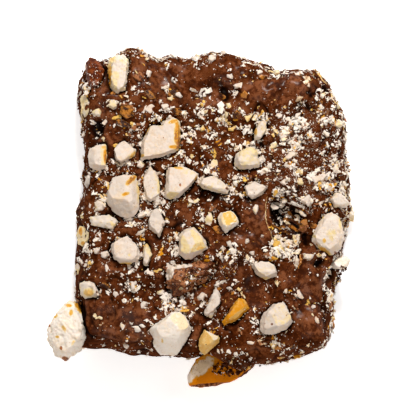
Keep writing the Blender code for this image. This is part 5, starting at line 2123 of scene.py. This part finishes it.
@dataclass
class ToffeeShards(Dressed):
    """Splinters of bare toffee that lie in the coating with one edge up."""

    ground: Ground
    seed: int = 61
    corners: int = 6
    thickness: float = 0.55
    cell: float = 0.12
    waves: Waves = ((1.1, 0.10, 3.0), (0.4, 0.04, 8.0))
    places: tuple[Shard, ...] = tuple(Shard(*row) for row in (
        (-16.6, 17.9, 3.6, 3.0, -35, 12, 0.45), (-17.4, 15.6, 3.8, 1.6, -22, 20, 0.22),
        (-12.0, 21.2, 3.4, 1.5, -35, 25, 0.5), (-7.6, 21.6, 2.6, 2.2, 10, 25, 0.25),
        (-6.6, 18.0, 1.6, 2.4, 60, 20, 0.45), (2.2, 21.0, 1.9, 1.6, -20, 30, 0.3),
        (6.6, 21.2, 2.0, 1.9, 40, 25, 0.7), (4.9, 17.2, 2.2, 1.6, 70, 30, 0.65),
        (-13.4, 17.0, 1.5, 1.0, 30, 20, 0.35), (-19.4, 21.6, 1.4, 0.9, 0, 20, 0.7),
        (1.4, -17.2, 2.6, 0.8, 40, 30, 0.55), (4.2, -18.0, 1.6, 0.7, 35, 30, 0.5),
        (23.6, -20.4, 1.2, 2.4, 10, 30, 0.6), (24.2, -24.4, 1.0, 1.8, -10, 30, 0.8),
        (16.4, -28.4, 1.8, 1.1, 20, 25, 0.75), (13.2, -28.8, 1.9, 1.0, 15, 25, 0.8),
        (18.6, -3.9, 2.0, 1.7, 10, 20, 0.62), (20.4, -4.6, 1.8, 1.6, -30, 25, 0.35),
        (1.4, -5.4, 2.8, 1.8, -30, 12, 0.3), (-26.2, -20.0, 0.9, 2.4, 24, 30, 0.6),
        (10.6, 24.8, 2.8, 1.2, -10, 20, 0.65), (-20.8, -16.6, 3.4, 1.2, -20, 25, 0.2),
        (21.6, 19.6, 1.6, 1.0, 60, 30, 0.6), (15.8, 13.8, 2.0, 1.0, 10, 20, 0.8),
    ))

    def body(self, shard: Shard, draw: random.Random) -> list[Vector]:
        """One splinter, half sunk with one edge up.

        Args:
            shard: Where it lies.
            draw: Where the chances come from.

        Returns:
            Its corner points.
        """
        spot, way = self.ground.below(shard.x, shard.y)
        up = Vector((0.0, 0.0, 1.0))
        level = up.rotation_difference(way.lerp(up, 0.5)).to_matrix()
        place = (
            Matrix.Translation(spot) @ level.to_4x4() @ Matrix.Rotation(math.radians(shard.turn), 4, "Z")
            @ Matrix.Rotation(math.radians(shard.tilt), 4, "X")
        )
        points = []
        for side in (-0.5, 0.6):
            for corner in range(self.corners):
                angle = math.tau * (corner + draw.uniform(-0.35, 0.35)) / self.corners
                reach = draw.uniform(0.8, 1.1) * (1.0 if side < 0 else 0.88) / 2
                points.append(place @ Vector((
                    math.cos(angle) * reach * shard.length,
                    math.sin(angle) * reach * shard.width,
                    side * self.thickness,
                )))
        return points

    def build(self) -> Piece:
        """Makes the splinters as one piece.

        Returns:
            The piece.
        """
        draw = random.Random(self.seed)
        points, faces = remeshed([self.body(shard, draw) for shard in self.places], self.cell)
        points += ways_out(points, faces) * rolling(points, self.waves)[:, None]
        self.piece = new_piece("toffee_shards", points, faces)
        centres = np.array([shard[:2] for shard in self.places])
        nearest = np.linalg.norm(points[:, None, :2] - centres[None], axis=2).argmin(1)
        clear = np.array([shard.clear for shard in self.places])[nearest]
        clear = clear + 0.9 * noise_at(points, 1.3, 15.0)
        paint(self.piece, "tone", np.stack([clear, 0 * clear, 0 * clear], -1))
        return self.piece


class Layer(NamedTuple):
    """A thin standing edge along a path of the plan, with its width, its rise and its tone."""

    path: tuple[tuple[float, float], ...]
    width: float
    rise: float
    golden: float
    skin: float = 0.0


RIM_LAYERS = (
    Layer(((11.2, 1.2), (10.9, 0.0), (10.8, -1.6), (10.9, -3.2), (11.3, -4.8), (11.9, -6.4), (12.5, -8.2)),
          0.17, 0.03, 0.5, 0.42),
    Layer(((12.5, -8.0), (13.2, -9.6), (13.8, -11.2)), 0.55, 0.4, 0.3),
    Layer(((12.7, -6.6), (13.8, -7.2), (15.0, -7.4)), 0.75, 0.8, 0.14),
    Layer(((13.4, -8.3), (14.4, -8.7), (15.8, -8.2)), 0.85, 0.7, 0.1),
    Layer(((13.3, -7.4), (13.8, -8.9), (14.7, -10.2)), 0.6, 0.7, 0.4),
    Layer(((16.8, -1.4), (17.8, -1.9), (18.9, -2.7)), 0.8, 0.7, 0.15),
    Layer(((16.9, -10.4), (17.0, -12.2), (16.9, -13.2)), 0.5, 0.5, 0.15),
    Layer(((21.0, 27.2), (22.0, 25.6), (22.6, 24.6), (23.4, 24.2)), 0.5, 0.4, 0.55),
    Layer(((24.0, 22.4), (24.4, 21.0), (25.2, 20.0)), 0.4, 0.4, 0.5),
    Layer(((-25.6, 19.4), (-25.9, 18.0), (-25.2, 16.6)), 0.4, 0.35, 0.3),
)
LEAF_LAYERS = (
    Layer(((13.7, -3.6), (14.9, -3.2), (16.4, -3.5), (17.7, -4.4)), 0.8, 0.7, 0.3),
    Layer(((13.6, -4.9), (15.0, -4.5), (16.6, -5.0), (17.6, -5.8)), 0.9, 0.6, 0.62),
    Layer(((11.9, -4.2), (13.0, -5.2), (14.4, -5.7), (15.8, -6.2)), 0.7, 0.9, 0.36),
    Layer(((15.0, -1.2), (15.8, -2.2), (17.0, -3.0)), 0.8, 0.7, 0.55),
    Layer(((17.7, -10.2), (17.6, -11.6), (17.3, -13.2)), 0.55, 0.5, 0.9),
    Layer(((6.4, -17.6), (7.6, -16.9)), 0.6, 0.3, 0.3),
)


@dataclass
class FlakyLayers(Dressed):
    """The broken edges of thin layers, standing up a little."""

    name: str
    slot: Slot
    ground: Ground
    layers: tuple[Layer, ...]
    step: float = 0.14
    depth: float = 0.9

    def run(self, layer: Layer) -> tuple[Array, Array]:
        """Even steps along a path.

        Args:
            layer: The layer with the path.

        Returns:
            The steps, and the way across the path at each.
        """
        path = np.array(layer.path)
        lengths = np.concatenate([[0.0], np.cumsum(np.linalg.norm(np.diff(path, axis=0), axis=1))])
        count = max(4, int(lengths[-1] / self.step))
        at = np.linspace(0.0, lengths[-1], count)
        middle = np.stack([np.interp(at, lengths, path[:, axis]) for axis in (0, 1)], -1)
        for _ in range(3):
            middle[1:-1] = (middle[:-2] + 2 * middle[1:-1] + middle[2:]) / 4
        along = np.gradient(middle, axis=0)
        along /= np.linalg.norm(along, axis=1)[:, None]
        return middle, np.stack([-along[:, 1], along[:, 0]], -1)

    def build(self) -> Piece:
        """Makes the layers as one piece.

        Returns:
            The piece.
        """
        all_points, all_faces, all_tones = [], [], []
        start = 0
        for order, layer in enumerate(self.layers):
            middle, across = self.run(layer)
            flat = np.column_stack([middle, np.zeros(len(middle))])
            wave = noise_at(flat, 0.9, 5.0 + order)
            chip = noise_at(flat, 0.35, 25.0 + order)
            ends = np.sin(np.linspace(0.0, math.pi, len(middle))) ** 0.5
            middle = middle + across * (0.22 * wave + 0.08 * chip)[:, None]
            levels = np.array([(hit[0].z if (hit := self.ground.below(*place)) else 6.0) for place in middle])
            for _ in range(2):
                levels[1:-1] = np.maximum(levels[1:-1], (levels[:-2] + levels[2:]) / 2)
            half = layer.width / 2 * (0.35 + 0.65 * ends) * (1 + 0.5 * chip)
            tops = levels + layer.rise * ends * (0.75 + 0.6 * wave + 0.5 * chip)
            sunk = levels - self.depth
            rows = [
                np.column_stack([middle + across * (side * half)[:, None], level])
                for side, level in ((-1.0, sunk), (-0.75, tops), (0.75, tops + 0.05), (1.0, sunk))
            ]
            ring = np.stack(rows, 1).reshape(-1, 3)
            count = len(middle)
            index = start + np.arange(count * 4).reshape(count, 4)
            for side in range(4):
                other = (side + 1) % 4
                all_faces.append(np.stack(
                    [index[:-1, side], index[:-1, other], index[1:, other], index[1:, side]], -1
                ))
            all_faces.append(np.array([index[0, ::-1], index[-1]]))
            all_points.append(ring)
            tone = np.clip(np.array((layer.golden, layer.skin, 0.0)) * (1 + 0.5 * wave[:, None]), 0.0, 1.0)
            all_tones.append(np.repeat(tone, 4, axis=0))
            start += count * 4
        self.piece = new_piece(self.name, np.concatenate(all_points), np.concatenate(all_faces), smooth=False)
        paint(self.piece, "tone", np.concatenate(all_tones))
        return self.piece


class Lamp(NamedTuple):
    """A soft square lamp: where it is and its side in millimetres, its power in watts, and its colour."""

    name: str
    place: tuple[float, float, float]
    size: float
    power: float
    colour: Colour


@dataclass
class Studio:
    """A light table as the floor, soft lamps, and the camera almost straight above."""

    aim: tuple[float, float, float] = (-0.6, -0.8, 6.0)
    elevation: float = 87.0
    lens: float = 300.0
    sensor: float = 36.0
    field_of_view: float = 83.2
    air_glow: float = 0.13
    floor_size: float = 3.0
    floor_drop: float = 0.0002
    floor_white: float = 0.9
    floor_glow: float = 0.6
    lamps: tuple[Lamp, ...] = (
        Lamp("key", (30.0, 240.0, 260.0), 70.0, 1.24, (1.0, 0.985, 0.96)),
        Lamp("side", (230.0, 60.0, 200.0), 160.0, 0.2, (1.0, 0.96, 0.92)),
        Lamp("fill", (-70.0, -190.0, 240.0), 200.0, 0.34, (1.0, 0.91, 0.84)),
    )

    def build(self) -> None:
        """Makes the floor, the lamps, the world and the camera."""
        self.floor()
        for lamp in self.lamps:
            self.light(lamp)
        world = bpy.data.worlds.new("studio")
        world.use_nodes = True
        Wiring(world.node_tree).feed_all(
            world.node_tree.nodes["Background"], Color=(1.0, 1.0, 1.0), Strength=self.air_glow
        )
        bpy.context.scene.world = world
        bpy.context.scene.view_settings.view_transform = "Standard"
        self.camera()

    def floor(self) -> None:
        """A pale floor, lit from beneath as a light table is."""
        bpy.ops.mesh.primitive_plane_add(size=self.floor_size, location=(0.0, 0.0, -self.floor_drop))
        made = bpy.context.object
        made.name = "floor"
        finish, wiring, shader = new_material("pale_floor")
        wiring.feed_all(
            shader,
            Base_Color=(self.floor_white,) * 3,
            Roughness=0.9,
            Emission_Color=(1.0, 1.0, 1.0),
            Emission_Strength=self.floor_glow,
        )
        made.data.materials.append(finish)

    @staticmethod
    def light(lamp: Lamp) -> None:
        """Puts up a lamp that shines at the middle of the piece.

        Args:
            lamp: The lamp.
        """
        light = bpy.data.lights.new(lamp.name, "AREA")
        light.color = lamp.colour
        light.shape = "SQUARE"
        light.size = lamp.size * MM
        light.energy = lamp.power
        made = bpy.data.objects.new(lamp.name, light)
        made.location = Vector(lamp.place) * MM
        made.rotation_mode = "QUATERNION"
        made.rotation_quaternion = (-Vector(lamp.place)).to_track_quat("-Z", "Y")
        bpy.context.scene.collection.objects.link(made)

    def camera(self) -> None:
        """The camera, far above the piece."""
        tilt = math.radians(self.elevation)
        back = Vector((0.0, -math.cos(tilt), math.sin(tilt)))
        lens = bpy.data.cameras.new("camera")
        lens.lens = self.lens
        lens.sensor_width = self.sensor
        lens.clip_end = 10.0
        made = bpy.data.objects.new("camera", lens)
        distance = self.field_of_view * self.lens / self.sensor
        made.location = (Vector(self.aim) + back * distance) * MM
        made.rotation_mode = "QUATERNION"
        made.rotation_quaternion = (-back).to_track_quat("-Z", "Y")
        bpy.context.scene.collection.objects.link(made)
        bpy.context.scene.camera = made


def crumbs() -> list[Grains]:
    """Every kind of crumb.

    Returns:
        The kinds, in the order in which they are strewn.
    """
    coated = (-2.8, -15.2, 3.8, 1.9, 22.0)
    beside = (2.2, -13.4, 3.2, 1.8, 10.0)
    over_half = (4.6, -32.2, 4.4, 1.9, 14.0)
    corner = (-23.2, 25.0, 1.7, 2.8, 0.0)
    return [
        Grains("almond_meal", 9600, (0.18, 0.55), (0.55, 1.0), (0.5, 1.0), 3, Slot.ALMOND, calm_share=0.28,
               heaps=(Heap(*coated, 70), Heap(*beside, 90), Heap(*over_half, 90), Heap(*corner, 40),
                      Heap(0.0, 0.0, 26.0, 29.0, 0.0, 700))),
        Grains("almond_crumbs", 2700, (0.5, 1.9), (0.5, 0.95), (0.45, 0.85), 4, Slot.ALMOND, lobes=3,
               evenness=0.04, calm_share=0.14,
               heaps=(Heap(14.4, -9.0, 3.0, 2.0, 0.0, 80), Heap(*coated, 12))),
        Grains("almond_flakes", 360, (1.4, 3.4), (0.4, 0.75), (0.25, 0.5), 12, Slot.ALMOND, lobes=4,
               evenness=0.03, calm_share=0.12, golden=0.2, heaps=(Heap(14.6, -9.2, 2.4, 1.8, 0.0, 9),)),
        Grains("almond_slivers", 380, (0.7, 1.8), (0.24, 0.45), (0.5, 0.9), 6, Slot.ALMOND, lobes=2,
               golden=0.25, calm_share=0.3, heaps=(Heap(14.8, -8.2, 3.0, 2.4, 0.0, 40),)),
        Grains("chocolate_crumbs", 2600, (0.25, 0.95), (0.55, 1.0), (0.6, 1.0), 5, Slot.CHOCOLATE, lobes=2,
               evenness=0.4, calm_share=0.08,
               heaps=(Heap(*coated, 130), Heap(*beside, 220), Heap(*over_half, 170))),
        Grains("chocolate_lumps", 110, (0.7, 1.6), (0.65, 0.95), (0.65, 0.95), 9, Slot.CHOCOLATE, lobes=5,
               evenness=0.5, calm_share=0.05,
               heaps=(Heap(26.2, -14.0, 1.2, 1.5, 0.0, 34), Heap(*over_half, 46), Heap(*beside, 26),
                      Heap(26.4, -2.6, 1.0, 0.8, 0.0, 8))),
        Grains("skin_fragments", 600, (0.5, 1.5), (0.4, 0.8), (0.15, 0.3), 8, Slot.SKIN, evenness=0.3,
               golden=0.3, brown=0.7, calm_share=0.3, heaps=(Heap(*coated, 50), Heap(*beside, 30))),
    ]


def main() -> None:
    """Builds and dresses the pieces in order."""
    logging.basicConfig(level=logging.INFO, format="%(message)s")
    groups = EffectGroups()
    chocolate = ChocolateFinish(groups).make()
    looks = {
        Look.PLAIN: AlmondFinish(groups).make(),
        Look.PALE: AlmondFinish(
            groups, Look.PALE.value, cream=(0.94, 0.85, 0.75), warm=(0.93, 0.76, 0.58),
            tan=(0.68, 0.46, 0.28), straw=(0.90, 0.73, 0.47), honey=(0.84, 0.50, 0.10),
            grey=(0.90, 0.82, 0.74),
        ).make(),
        Look.AMBER: AlmondFinish(
            groups, Look.AMBER.value, straw=(0.74, 0.56, 0.36), honey=(0.62, 0.30, 0.04),
            amber=(0.70, 0.205, 0.0), tan=(0.26, 0.07, 0.0), grey=(0.86, 0.68, 0.50), roughness=0.45,
            specular=0.04,
        ).make(),
        Look.SKINNED: AlmondFinish(
            groups, Look.SKINNED.value, skin=(0.070, 0.010, 0.001), rust=(0.21, 0.045, 0.007), roughness=0.5,
            specular=0.08,
        ).make(),
    }
    almond = looks[Look.PLAIN]
    toffee = ToffeeFinish(groups).make()
    form = SlabForm()
    almonds = chopped_almonds()
    plans = [NutPlan.of(one.corners) for one in almonds]
    coating = Coating(form, Strewing(), NutPlans(plans))
    coating.build()
    coating.dress(chocolate)
    for one in almonds:
        one.build()
        one.dress(looks[one.look])
    chips = AlmondChips(form)
    splinters = AlmondChips(form, "almond_splinters", FLAKES, scattered=0, seed=83, height_share=0.4)
    for one in (chips, splinters):
        one.build()
        one.dress(almond)
    ground = Ground([coating.piece, chips.piece, splinters.piece, *(one.piece for one in almonds)])
    for one, finish in (
        (ToffeeShards(ground), toffee),
        (FlakyLayers("pale_layers", Slot.ALMOND, ground, RIM_LAYERS), almond),
        (FlakyLayers("toffee_leaves", Slot.GOLDEN, ground, LEAF_LAYERS), toffee),
    ):
        one.build()
        one.dress(finish)
    for kind in crumbs():
        kind.build(coating, ground)
        kind.dress({Slot.CHOCOLATE: chocolate, Slot.SKIN: almond}.get(kind.slot, looks[Look.PALE]))
    Studio().build()


if __name__ == "__main__":
    main()
